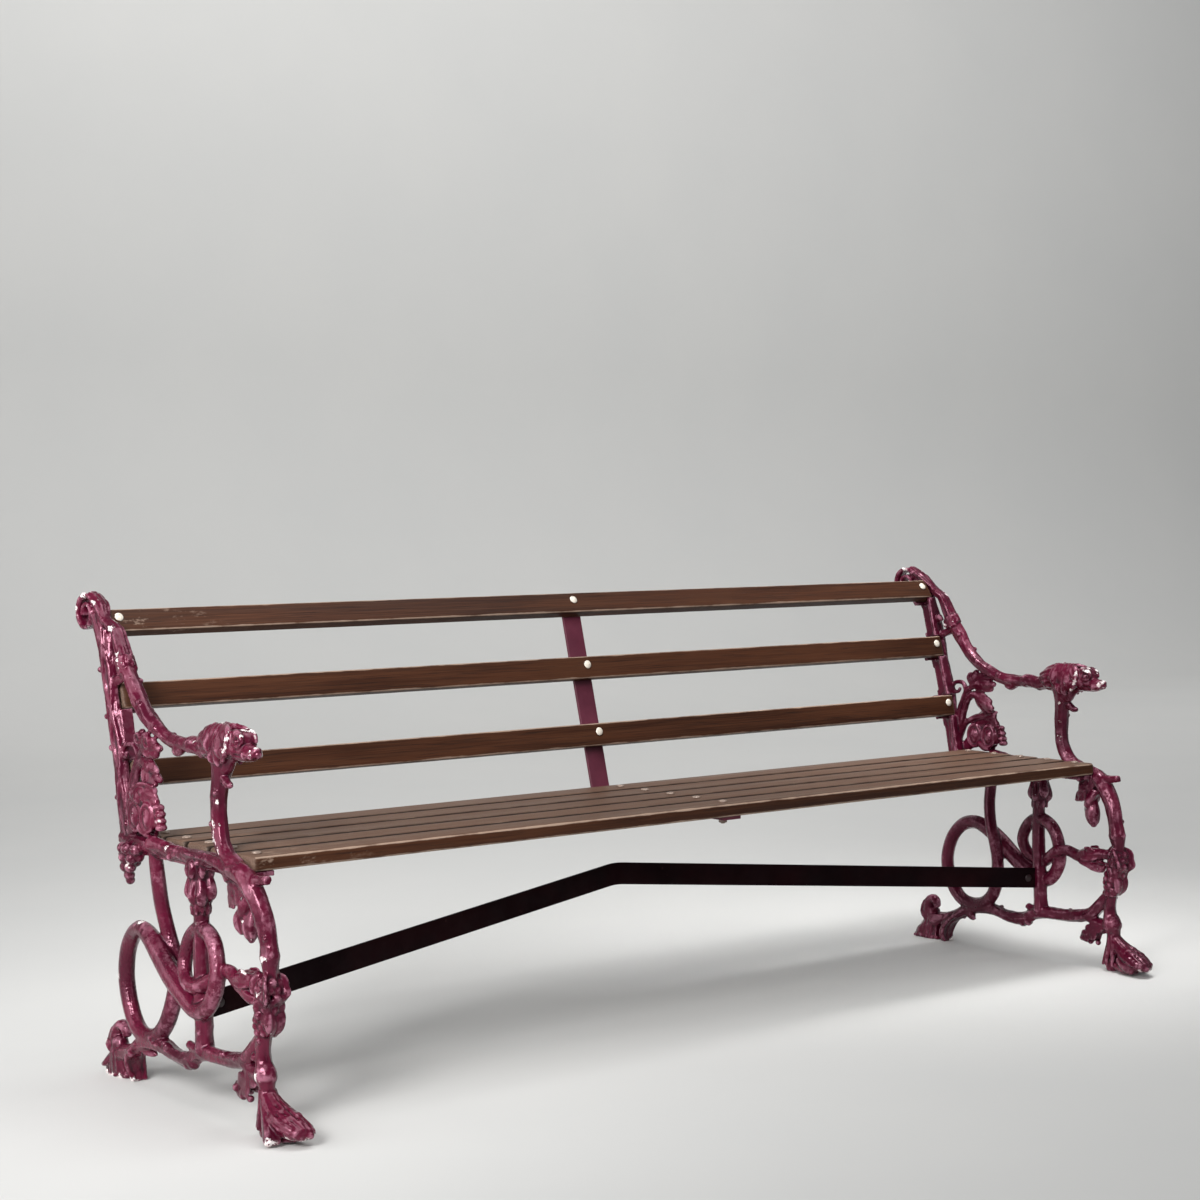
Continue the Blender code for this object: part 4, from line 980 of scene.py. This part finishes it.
def casting_mesh():
    """One end frame in its own drawing, with what its paint needs to know at every point."""
    clay = Clay()
    for add in (add_upright, add_lug, add_branches, add_roots, add_sleeve, add_scroll, add_head, add_serpent,
                add_vine, add_capital, add_leg_ornament, add_leg_cluster, add_grapes, add_paw, add_rear_foot):
        add(clay)
    mesh = modified(clay.mesh("clay"), "REMESH", mode="VOXEL", voxel_size=VOXEL * MM)
    soften(mesh)
    roughen(mesh)
    press_grooves(mesh)
    mesh = thinned(mesh)
    keep_clear(mesh)
    points, normals, drawing = read_surface(mesh)
    add_attribute(mesh, "relief", relief_of(points, normals, read_edges(mesh), RELIEF_ROUNDS))
    add_attribute(mesh, "chip", nearness(drawing, CHIPS))
    add_attribute(mesh, "scales", route_nearness(drawing, SERPENT))
    return mesh


def keep_clear(mesh):
    """Keeps the skin out of the seat slats' places and above the ground."""
    points = read(mesh.vertices, "co")
    o, y, z = (points / MM).T
    over_shelf = (o > 6) & (y > SEAT_FRONT) & (y < SEAT_REAR)
    inside = over_shelf & (z > LEDGE_HEIGHT) & (z < LEDGE_HEIGHT + SEAT_THICKNESS)
    points[inside, 2] = LEDGE_HEIGHT * MM
    points[:, 2] = np.maximum(points[:, 2], 0)
    set_points(mesh, points)


# Placing pieces

def add_piece(name, mesh, material, slot, *nodes):
    """A piece whose mesh is already in the model's frame, in place of the nodes it shows."""
    obj = new_object(name, mesh)
    mesh.materials.clear()
    mesh.materials.append(material)
    mesh.shade_smooth()
    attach(obj, "root")
    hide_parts(*nodes)


def ring_mesh(name, rings, sharp=SHARP_ANGLE, capped=True):
    """A skin through rings of points in millimetres, capped at both ends or joined end to end."""
    bm = bmesh.new()
    loops = [[bm.verts.new(Vector(point) * MM) for point in ring] for ring in rings]
    count = len(loops[0])
    following = loops[1:] if capped else loops[1:] + loops[:1]
    for lower, upper in zip(loops, following):
        for k in range(count):
            bm.faces.new((lower[k], lower[(k + 1) % count], upper[(k + 1) % count], upper[k]))
    if capped:
        bm.faces.new(loops[0])
        bm.faces.new(loops[-1])
    bmesh.ops.recalc_face_normals(bm, faces=bm.faces)
    mesh = bpy.data.meshes.new(name)
    bm.to_mesh(mesh)
    bm.free()
    mesh.set_sharp_from_angle(angle=radians(sharp))
    return mesh


def make_castings(material):
    """Two end frames, the right one a mirror image of the left."""
    left = casting_mesh()
    left.transform(Matrix.Translation((-HALF_SPACING, -DRAWING_MIDDLE * MM, 0)))
    right = left.copy()
    right.transform(Matrix.Diagonal((-1, 1, 1, 1)))
    right.flip_normals()
    add_piece("iron_end_left", left, material, "casting_paint", "end_casting_left")
    add_piece("iron_end_right", right, material, "casting_paint", "end_casting_right")


# Timber

def rounded_section(width, thickness, radius, segments=5, inset=0.0):
    """Points of a rounded rectangle, as (across, up), anticlockwise.

    With an inset, every long flat also has a point that far in from each of its ends.
    """
    points = []
    for quarter, (sx, sy) in enumerate(((1, 1), (-1, 1), (-1, -1), (1, -1))):
        for k in range(segments + 1):
            angle = pi / 2 * (quarter + k / segments)
            points.append((sx * (width / 2 - radius) + radius * cos(angle),
                           sy * (thickness / 2 - radius) + radius * sin(angle)))
    corners = np.array(points)
    if not inset:
        return corners
    points = []
    for here, after in zip(corners, np.roll(corners, -1, axis=0)):
        points.append(here)
        flat = np.linalg.norm(after - here)
        if flat > 2.5 * inset:
            points.append(here + (after - here) * inset / flat)
            points.append(after - (after - here) * inset / flat)
    return np.array(points)


def seat_middle(row):
    """Middle of a seat slat from front to rear, in the model's frame."""
    return SEAT_FRONT + SEAT_WIDTH / 2 + row * SEAT_PITCH - DRAWING_MIDDLE


def slat_mesh(name, width, thickness, corner, seed, scuffed, painted_light, gap_shade_front):
    """A slat along X with its top at +Z: edges worn soft, faces a little uneven, ends eased."""
    draw = np.random.default_rng(seed)
    section = rounded_section(width, thickness, corner, inset=SECTION_INSET)
    half = SLAT_HALF_LENGTH
    half_size = np.array([width / 2, thickness / 2])
    inner = np.linspace(-half + 8, half - 8, SLAT_RINGS)
    stations = np.concatenate([[-half + e for e in END_EASE], inner, [half - e for e in END_EASE[::-1]]])
    phases = draw.uniform(0, TAU, 2)
    rings = []
    for x in stations:
        shrink = 2.4 * (1 - min((half - abs(x)) / END_EASE[-1], 1.0)) ** 1.5
        wear = abs(0.35 * sin(x / 61 + phases[0]) + 0.25 * sin(x / 23 + phases[1]))
        scale = 1 - np.array([shrink + 0.25 * wear, shrink + 0.12 * wear]) / half_size
        rings.append([(x, across, up) for across, up in section * scale])
    mesh = ring_mesh(name, rings)
    along, across, up = (read(mesh.vertices, "co") / MM).T
    edge_gap = np.hypot(width / 2 - np.abs(across), thickness / 2 - np.abs(up))
    below = thickness / 2 - up
    # The slat's sides below its top, which face the gaps between seat slats and get painted shade
    shaded_sides = np.clip(below / 0.8 - 0.5, 0, 1) * (np.abs(across) > width / 2 - corner)
    if not gap_shade_front:
        shaded_sides = shaded_sides * (across > 0)
    add_attribute(mesh, "edge", np.clip(1 - (edge_gap - (sqrt(2) - 1) * corner) / RUB_REACH, 0, 1))
    # Painted sheen on the top face of a seat slat
    add_attribute(mesh, "painted_light", painted_light * np.clip(1 - below / 1.2, 0, 1))
    # Painted shade on the sides that face the gaps between seat slats
    add_attribute(mesh, "grime_and_gap_shade", painted_light * shaded_sides)
    add_attribute(mesh, "end", np.clip(1 - (half - np.abs(along)) / RUB_REACH, 0, 1))
    add_attribute(mesh, "scuff", scuffed * np.clip(1 - (half + along) / SCUFF_REACH, 0, 1))
    return mesh


def make_slats(material):
    """Seat slats laid flat, and back slats that lean against the upright."""
    for row in range(SEAT_ROWS):
        front = row == 0
        mesh = slat_mesh("seat slat", SEAT_WIDTH, SEAT_THICKNESS, SEAT_CORNER, row,
                         scuffed=1.0 if front else 0.5, painted_light=1.0, gap_shade_front=not front)
        z = LEDGE_HEIGHT + FIT + SEAT_THICKNESS / 2
        mesh.transform(Matrix.Translation((0, seat_middle(row) * MM, z * MM)))
        add_piece(f"timber_seat_{row + 1}", mesh, material, "timber", f"seat_slat_{row + 1}")
    for row, (_, _, lean) in enumerate(BACK_SEATS):
        top = row == len(BACK_SEATS) - 1
        mesh = slat_mesh("back slat", BACK_WIDTH, BACK_THICKNESS, BACK_CORNER, BACK_SEED + row,
                         scuffed=1.0 if top else 0.0, painted_light=0.0, gap_shade_front=False)
        seat, _, rear = back_seat(row)
        middle = seat - rear * BACK_THICKNESS / 2
        turn = Matrix.Rotation(pi / 2 - radians(lean), 4, "X")
        place = Matrix.Translation((0, (middle[0] - DRAWING_MIDDLE) * MM, middle[1] * MM))
        mesh.transform(place @ turn)
        add_piece(f"timber_back_{row + 1}", mesh, material, "timber", f"back_slat_{row + 1}")


# Strap and brace

def strap_line():
    """The strap's face that carries the slats, as (point, direction away from the slats)."""
    seat, _, rear = back_seat(0)
    lean = radians(BACK_SEATS[0][2])
    first = seat + rear * FIT
    bend_top = LEDGE_HEIGHT + STRAP_BEND * (1 - sin(lean))
    bend_y = first[0] - (first[1] - bend_top) * tan(lean) - STRAP_BEND * cos(lean)
    line = []
    for y in np.linspace(SEAT_FRONT + 8, bend_y - 4, 12):
        line.append((np.array([y, LEDGE_HEIGHT]), np.array([0.0, -1.0])))
    for angle in np.linspace(-pi / 2, -lean, 15):
        away = np.array([cos(angle), sin(angle)])
        line.append((np.array([bend_y, LEDGE_HEIGHT + STRAP_BEND]) + away * STRAP_BEND, away))
    for row in range(len(BACK_SEATS)):
        seat, up, rear = back_seat(row)
        for reach in (-19, -10, 0, 10, 19):
            line.append((seat + rear * FIT + up * reach, rear))
    return line


def make_strap(material):
    """A flat bar down the middle of the back, bent forward under the seat."""
    section = rounded_section(STRAP_WIDTH, STRAP_THICKNESS, BAR_CORNER, 3)
    rings = []
    for point, away in strap_line():
        ring = []
        for across, depth in section:
            place = point + away * (STRAP_THICKNESS / 2 + depth)
            ring.append((across, place[0] - DRAWING_MIDDLE, place[1]))
        rings.append(ring)
    add_piece("iron_strap", ring_mesh("strap", rings), material, "strap_paint", "centre_strap")


def make_brace(material):
    """A flat bar on edge between the end frames, bent at its middle."""
    end, _, rear = brace_frame()
    half = HALF_SPACING / MM
    section = rounded_section(BRACE_THICKNESS, BRACE_HEIGHT, BAR_CORNER, 3)
    stations = []
    for share in np.concatenate([np.linspace(0, 0.97, 30), np.linspace(BEND_START, 1.0, 4)]):
        place = Vector(end).lerp(Vector((half, BRACE_BEND[0], BRACE_BEND[1])), float(share))
        ease = max(0.0, (share - BEND_START) / (1 - BEND_START))
        face = rear.lerp(Vector((0, 1, 0)), ease).normalized()
        sag = ease ** 2
        stations.append((Vector((place.x - half, place.y - 1.5 * sag, place.z - 0.8 * sag)), face))
    stations += [(Vector((-p.x, p.y, p.z)), Vector((-f.x, f.y, 0))) for p, f in stations[-2::-1]]
    rings = []
    for place, face in stations:
        rings.append([place + face * depth + Vector((0, -DRAWING_MIDDLE, rise)) for depth, rise in section])
    add_piece("iron_brace", ring_mesh("brace", rings), material, "brace_paint", "cross_brace")


# Fasteners

def turned(name, profile, sides=32):
    """A profile of (radius, height) in millimetres turned about Z."""
    angles = [TAU * k / sides for k in range(sides)]
    rings = [[(radius * cos(a), radius * sin(a), height) for a in angles] for radius, height in profile]
    return ring_mesh(name, rings)


def bolt_mesh(grip):
    """A domed head over Z = 0 and a shank that reaches past its grip."""
    rim = FIT + 0.6
    dome = [(HEAD_RADIUS * cos(a), rim + (HEAD_HEIGHT - rim) * sin(a))
            for a in np.linspace(0, radians(86), 9)]
    profile = dome[::-1] + [(HEAD_RADIUS - 0.3, FIT), (BOLT_RADIUS, FIT), (BOLT_RADIUS, -grip - 1.4),
                            (BOLT_RADIUS - 0.8, -grip - 2)]
    return turned("bolt", profile)


def nut_mesh(sides=48):
    """A hexagon nut with its top at Z = 0 and chamfered corners, open round the shank."""
    sixth = pi / 3
    low = -NUT_HEIGHT
    rims = []
    for bore, height, shave in ((True, 0, 0.0), (False, 0, NUT_CHAMFER), (False, -NUT_CHAMFER, 0.0),
                                (False, low + NUT_CHAMFER, 0.0), (False, low, NUT_CHAMFER), (True, low, 0.0)):
        ring = []
        for k in range(sides):
            angle = TAU * k / sides
            flat = NUT_RADIUS * cos(sixth / 2) / cos((angle + sixth / 2) % sixth - sixth / 2)
            radius = BOLT_RADIUS + 0.6 if bore else min(flat, NUT_RADIUS - 0.15 - shave)
            ring.append((radius * cos(angle), radius * sin(angle), height))
        rims.append(ring)
    return ring_mesh("nut", rims, sharp=30, capped=False)


def place_fastener(node, mesh, material, place, axis):
    """A copy of a bolt or nut at a place in millimetres, with its Z along an axis."""
    copy = mesh.copy()
    turn = Vector((0, 0, 1)).rotation_difference(Vector(axis)).to_matrix().to_4x4()
    copy.transform(Matrix.Translation(Vector(place) * MM) @ turn)
    add_piece("iron_" + node, copy, material, "bolt_paint", node)


def columns(inset):
    """Names and places along X of a row of three bolts."""
    reach = HALF_SPACING / MM - inset
    return (("left", -reach), ("centre", 0.0), ("right", reach))


def make_fasteners(pale, dark, maroon):
    """Bolts at every crossing of the back, the seat and the brace, with nuts except at the seat's ends."""
    nut = nut_mesh()
    for side, x in columns(BACK_BOLT_INSET):
        below = BACK_THICKNESS + FIT + (STRAP_THICKNESS if side == "centre" else PAD_DEPTH) + FIT
        bolt = bolt_mesh(below + NUT_HEIGHT)
        for row in range(len(BACK_SEATS)):
            seat, up, rear = back_seat(row)
            front = seat + up * BACK_BOLT_RISE - rear * BACK_THICKNESS - np.array([DRAWING_MIDDLE, 0])
            behind = front + rear * below
            axis = (0, -rear[0], -rear[1])
            place_fastener(f"back_bolt_{row + 1}_{side}", bolt, pale, (x, *front), axis)
            place_fastener(f"back_nut_{row + 1}_{side}", nut, pale, (x, *behind), axis)
    top = LEDGE_HEIGHT + FIT + SEAT_THICKNESS
    below = SEAT_THICKNESS + FIT + STRAP_THICKNESS + FIT
    end_bolt = bolt_mesh(SEAT_THICKNESS + FIT + SHELF_DEPTH)
    centre_bolt = bolt_mesh(below + NUT_HEIGHT)
    for row in range(SEAT_ROWS):
        y = seat_middle(row)
        for side, x in columns(SEAT_BOLT_INSET):
            bolt = centre_bolt if side == "centre" else end_bolt
            place_fastener(f"seat_bolt_{row + 1}_{side}", bolt, dark, (x, y, top), (0, 0, 1))
        place_fastener(f"seat_nut_{row + 1}_centre", nut, dark, (0, y, top - below), (0, 0, 1))
    make_brace_fasteners(maroon, nut)


def make_brace_fasteners(material, nut):
    end, run, rear = brace_frame()
    below = BRACE_THICKNESS + FIT + LUG_DEPTH + FIT
    bolt = bolt_mesh(below + NUT_HEIGHT)
    shift = Vector((-HALF_SPACING / MM, -DRAWING_MIDDLE, 0))
    head = end + run * ((BRACE_BOLT_INSET - BRACE_INSET) / run.x) + shift - rear * (BRACE_THICKNESS / 2)
    behind = head + rear * below
    for side, mirror in (("left", 1), ("right", -1)):
        axis = (-rear.x * mirror, -rear.y, 0)
        place_fastener(f"brace_bolt_{side}", bolt, material, (head.x * mirror, head.y, head.z), axis)
        place_fastener(f"brace_nut_{side}", nut, material, (behind.x * mirror, behind.y, behind.z), axis)


# Materials

class Paint:
    """A material's node tree, with short ways to add and join nodes."""

    def __init__(self, name):
        self.material = bpy.data.materials.new(name)
        self.material.use_nodes = True
        self.tree = self.material.node_tree
        self.shader = self.tree.nodes["Principled BSDF"]

    def node(self, kind, inputs=None, **settings):
        node = self.tree.nodes.new(kind)
        for key, value in settings.items():
            setattr(node, key, value)
        for key, value in (inputs or {}).items():
            self.give(node.inputs[key], value)
        return node

    def give(self, socket, value):
        if isinstance(value, bpy.types.NodeSocket):
            self.tree.links.new(value, socket)
        else:
            socket.default_value = value

    def set(self, **inputs):
        for key, value in inputs.items():
            self.give(self.shader.inputs[key.replace("_", " ")], value)

    def place(self, scale=(1, 1, 1)):
        coordinates = self.node("ShaderNodeTexCoord").outputs["Object"]
        return self.node("ShaderNodeMapping", {"Vector": coordinates, "Scale": scale}).outputs["Vector"]

    def noise(self, scale, detail=4.0, stretch=(1, 1, 1), roughness=0.55):
        inputs = {"Vector": self.place(stretch), "Scale": scale, "Detail": detail, "Roughness": roughness}
        return self.node("ShaderNodeTexNoise", inputs).outputs["Fac"]

    def attribute(self, name):
        return self.node("ShaderNodeAttribute", attribute_name=name).outputs["Fac"]

    def range(self, value, low, high, to_low=0.0, to_high=1.0):
        inputs = {"Value": value, "From Min": low, "From Max": high, "To Min": to_low, "To Max": to_high}
        return self.node("ShaderNodeMapRange", inputs, interpolation_type="SMOOTHSTEP").outputs["Result"]

    def math(self, operation, first, second=0.0):
        node = self.node("ShaderNodeMath", operation=operation)
        self.give(node.inputs[0], first)
        self.give(node.inputs[1], second)
        return node.outputs["Value"]

    def times(self, first, second):
        return self.math("MULTIPLY", first, second)

    def plus(self, first, second):
        return self.math("ADD", first, second)

    def minus(self, first, second):
        return self.math("SUBTRACT", first, second)

    def mix(self, factor, first, second, kind="RGBA"):
        node = self.node("ShaderNodeMix", data_type=kind)
        for key, value in (("Factor", factor), ("A", first), ("B", second)):
            self.give(node.inputs[key], value)
        return node.outputs["Result"]

    def blend(self, factor, first, second):
        return self.mix(factor, first, second, "FLOAT")

    def bump(self, height, strength, distance):
        inputs = {"Height": height, "Strength": strength, "Distance": distance}
        return self.node("ShaderNodeBump", inputs).outputs["Normal"]


def colour(red, green, blue):
    """A colour written in 8-bit screen values."""
    linear = []
    for value in (red, green, blue):
        value = value / 255
        linear.append(value / 12.92 if value <= 0.04045 else ((value + 0.055) / 1.055) ** 2.4)
    return (*linear, 1.0)


def burgundy_enamel():
    """Thick gloss paint on cast iron: painted shade in the hollows, pink wear and a painted highlight on
    ridges, knocked off to white.
    """
    paint = Paint("burgundy enamel")
    relief = paint.attribute("relief")
    patch = paint.range(paint.noise(9.0, 3.0), 0.35, 0.65)
    body = paint.mix(patch, colour(84, 15, 39), colour(60, 8, 27))
    # Painted shade: the colour darkens to near black where the relief sinks into hollows
    hollow = paint.range(relief, -0.1, -1.3)
    body = paint.mix(hollow, body, colour(28, 2, 11))
    grain = paint.range(paint.noise(70.0, 5.0, roughness=0.65), 0.42, 0.62)
    # Pale pink on the ridges: partly rubbed paint, partly a painted highlight along them
    ridge = paint.times(paint.range(relief, 0.3, 1.8), grain)
    body = paint.mix(paint.times(ridge, 0.4), body, colour(204, 140, 162))
    fleck = paint.noise(150.0, 6.0, roughness=0.7)
    proud = paint.times(paint.math("MINIMUM", relief, 1.2), 0.34)
    knocked = paint.plus(paint.plus(paint.attribute("chip"), proud), paint.times(fleck, 2.8))
    bare = paint.range(knocked, 2.26, 2.36)
    under = paint.mix(grain, colour(238, 232, 230), colour(196, 182, 180))
    gloss = paint.range(paint.noise(35.0, 4.0), 0.3, 0.7, 0.11, 0.24)
    gloss = paint.blend(hollow, gloss, 0.4)
    cells = paint.node("ShaderNodeTexVoronoi", {"Vector": paint.place(), "Scale": 230.0}).outputs["Distance"]
    scales = paint.times(paint.minus(0.3, paint.times(cells, 0.45)), paint.attribute("scales"))
    skin = paint.plus(paint.times(paint.noise(64.0, 5.0, roughness=0.6), 0.9), scales)
    skin = paint.minus(skin, paint.times(bare, 0.35))
    paint.set(Base_Color=paint.mix(bare, body, under), Roughness=paint.blend(bare, gloss, 0.6),
              Normal=paint.bump(skin, 0.7, 0.0016), Specular_IOR_Level=0.6,
              Specular_Tint=colour(255, 186, 208))
    return paint.material


def oiled_timber():
    """Dark stained hardwood: fine grain along the slat, a painted sheen on the seat tops, painted shade on
    the sides in the gaps, rubbed paler on edges, scuffed near one end.
    """
    paint = Paint("oiled hardwood")
    broad = paint.noise(1.0, 5.0, (1.6, 34, 34), 0.6)
    fine = paint.noise(1.0, 3.0, (6.0, 420, 420), 0.6)
    pores = paint.range(paint.noise(1.0, 2.0, (9.0, 700, 700)), 0.56, 0.66)
    body = paint.mix(paint.range(broad, 0.35, 0.65), colour(46, 23, 13), colour(70, 39, 23))
    body = paint.mix(paint.range(fine, 0.35, 0.7, 0.0, 0.45), body, colour(84, 53, 35))
    body = paint.mix(paint.times(pores, 0.6), body, colour(28, 17, 13))
    # Painted sheen: the seat tops are mixed paler and greyer, broken up by the grain
    top_sheen = paint.times(paint.attribute("painted_light"), paint.range(fine, 0.3, 0.7, 0.45, 0.75))
    body = paint.mix(top_sheen, body, colour(116, 92, 77))
    rub = paint.plus(paint.attribute("edge"), paint.times(paint.noise(18.0, 5.0), 1.1))
    rub = paint.range(rub, 1.15, 1.5)
    scuff = paint.range(paint.noise(1.0, 6.0, (26, 60, 60), 0.7), 0.55, 0.66)
    scuff = paint.times(scuff, paint.attribute("scuff"))
    worn = paint.math("MAXIMUM", paint.times(rub, 0.7), paint.times(scuff, 0.5))
    body = paint.mix(worn, body, colour(176, 152, 134))
    # Painted shade: the sides in the gaps between seat slats are mixed to near black
    body = paint.mix(paint.attribute("grime_and_gap_shade"), body, colour(26, 15, 11))
    grain_end = paint.times(paint.attribute("end"), paint.range(fine, 0.4, 0.6, 0.4, 0.8))
    body = paint.mix(grain_end, body, colour(118, 98, 86))
    gloss = paint.range(broad, 0.3, 0.7, 0.42, 0.58)
    height = paint.minus(paint.times(fine, 0.6), paint.times(pores, 0.6))
    paint.set(Base_Color=body, Roughness=paint.blend(worn, gloss, 0.65),
              Normal=paint.bump(height, 0.35, 0.0006), Specular_IOR_Level=0.14)
    return paint.material


def bar_paint(name, main, shade, rub_colour, rough, shine):
    """Brushed paint on flat iron, thin and rubbed in places."""
    paint = Paint(name)
    cloud = paint.range(paint.noise(7.0, 5.0), 0.35, 0.65)
    body = paint.mix(cloud, main, shade)
    spots = paint.range(paint.noise(46.0, 6.0, roughness=0.7), 0.66, 0.72)
    body = paint.mix(paint.times(spots, 0.55), body, rub_colour)
    uneven = paint.range(paint.noise(24.0, 4.0), 0.3, 0.7, rough, rough + 0.2)
    brushed = paint.bump(paint.noise(90.0, 4.0), 0.25, 0.0008)
    paint.set(Base_Color=body, Roughness=uneven, Normal=brushed, Specular_IOR_Level=shine)
    return paint.material


def bolt_paint(name, main, grimy, rough):
    """Paint on domed iron heads, grimy in specks."""
    paint = Paint(name)
    grime_and_gap_shade = paint.range(paint.noise(210.0, 5.0, roughness=0.65), 0.5, 0.68)
    body = paint.mix(paint.times(grime_and_gap_shade, 0.6), main, grimy)
    paint.set(Base_Color=body, Roughness=paint.range(grime_and_gap_shade, 0.0, 1.0, rough, rough + 0.3),
              Normal=paint.bump(paint.noise(260.0, 3.0), 0.2, 0.0005), IOR=1.5)
    return paint.material


# Stage, light and camera

def make_stage():
    """A pale floor that sweeps up behind the bench."""
    radius = 1.6
    sides = (-12.0, 14.0)
    front = -7.0
    rear = 4.5
    top = 6.0
    profile = [(front, 0.0), (rear, 0.0)]
    for angle in np.linspace(0, pi / 2, 13)[1:]:
        profile.append((rear + radius * sin(angle), radius - radius * cos(angle)))
    profile.append((rear + radius, top))
    bm = bmesh.new()
    rows = [[bm.verts.new((x, y, z)) for x in sides] for y, z in profile]
    for lower, upper in zip(rows, rows[1:]):
        bm.faces.new((lower[0], lower[1], upper[1], upper[0]))
    mesh = bpy.data.meshes.new("floor")
    bm.to_mesh(mesh)
    bm.free()
    mesh.shade_smooth()
    floor = new_object("studio_floor", mesh)
    paint = Paint("pale floor")
    tone = paint.mix(paint.noise(1.5, 4.0), colour(216, 215, 212), colour(209, 209, 207))
    paint.set(Base_Color=tone, Roughness=0.85)
    mesh.materials.append(paint.material)


# Area lamps, as a name, place, target, size, power in watts and, where it is narrow, a spread in degrees
LAMPS = (
    ("window", (-3.4, -1.6, 2.2), (-0.9, 0.05, 0.72), (1.2, 1.6), 14.0, 44),
    ("right lamp", (0.55, -0.25, 3.1), (0.95, 0.1, 0.62), (0.6, 0.7), 3.4, 40),
    ("left panel", (-4.2, 0.6, 1.5), (-1.0, 0.0, 0.5), (4.5, 2.4), 85.0),
    ("overhead", (0.2, -0.6, 4.2), (0.0, 1.6, 0.0), (4.5, 2.5), 105.0),
    ("backdrop", (5.0, 2.6, 5.0), (6.0, 6.1, 2.0), (11.0, 1.5), 200.0),
    ("front fill", (1.5, -5.5, 2.2), (0.2, 0.0, 0.4), (3.0, 2.0), 16.0),
)


def add_light(name, place, target, size, power, spread=180):
    light = bpy.data.lights.new(name, "AREA")
    light.shape = "RECTANGLE"
    light.size, light.size_y = size
    light.energy = power
    light.spread = radians(spread)
    obj = new_object(name, light)
    obj.location = place
    obj.rotation_euler = (Vector(target) - Vector(place)).to_track_quat("-Z", "Y").to_euler()
    obj.visible_camera = False


def make_light():
    world = bpy.data.worlds.new("studio")
    world.use_nodes = True
    background = world.node_tree.nodes["Background"]
    background.inputs["Color"].default_value = (0.86, 0.89, 0.93, 1.0)
    background.inputs["Strength"].default_value = 0.24
    bpy.context.scene.world = world
    for lamp in LAMPS:
        add_light(*lamp)


def make_camera():
    yaw, pitch, roll = (radians(value) for value in (CAMERA_YAW, CAMERA_PITCH, CAMERA_ROLL))
    forward = Vector((sin(yaw) * cos(pitch), cos(yaw) * cos(pitch), -sin(pitch)))
    level = Vector((cos(yaw), -sin(yaw), 0))
    upright = level.cross(forward)
    right = level * cos(roll) + upright * sin(roll)
    up = upright * cos(roll) - level * sin(roll)
    camera = bpy.data.cameras.new("photograph")
    camera.sensor_width = SENSOR_MM
    camera.lens = SENSOR_MM * FOCAL_PIXELS / PHOTO_SIZE
    obj = new_object("camera", camera)
    turn = Matrix((right, up, -forward)).transposed().to_4x4()
    obj.matrix_world = Matrix.Translation(CAMERA_PLACE) @ turn
    bpy.context.scene.camera = obj
    bpy.context.scene.view_settings.view_transform = "Standard"


def write_sizes():
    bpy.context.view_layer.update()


def main():
    make_camera()
    make_stage()
    make_light()
    make_castings(burgundy_enamel())
    make_slats(oiled_timber())
    make_strap(bar_paint("strap iron", colour(104, 44, 62), colour(78, 28, 44), colour(160, 110, 120),
                         0.35, 0.3))
    make_brace(bar_paint("brace iron", colour(30, 8, 12), colour(16, 4, 7), colour(64, 36, 34), 0.6, 0.06))
    make_fasteners(bolt_paint("cream bolts", colour(222, 214, 200), colour(136, 118, 102), 0.3),
                   bolt_paint("worn bolts", colour(140, 122, 110), colour(70, 50, 42), 0.35),
                   bolt_paint("brace bolts", colour(34, 11, 15), colour(20, 7, 9), 0.45))
    write_sizes()


main()
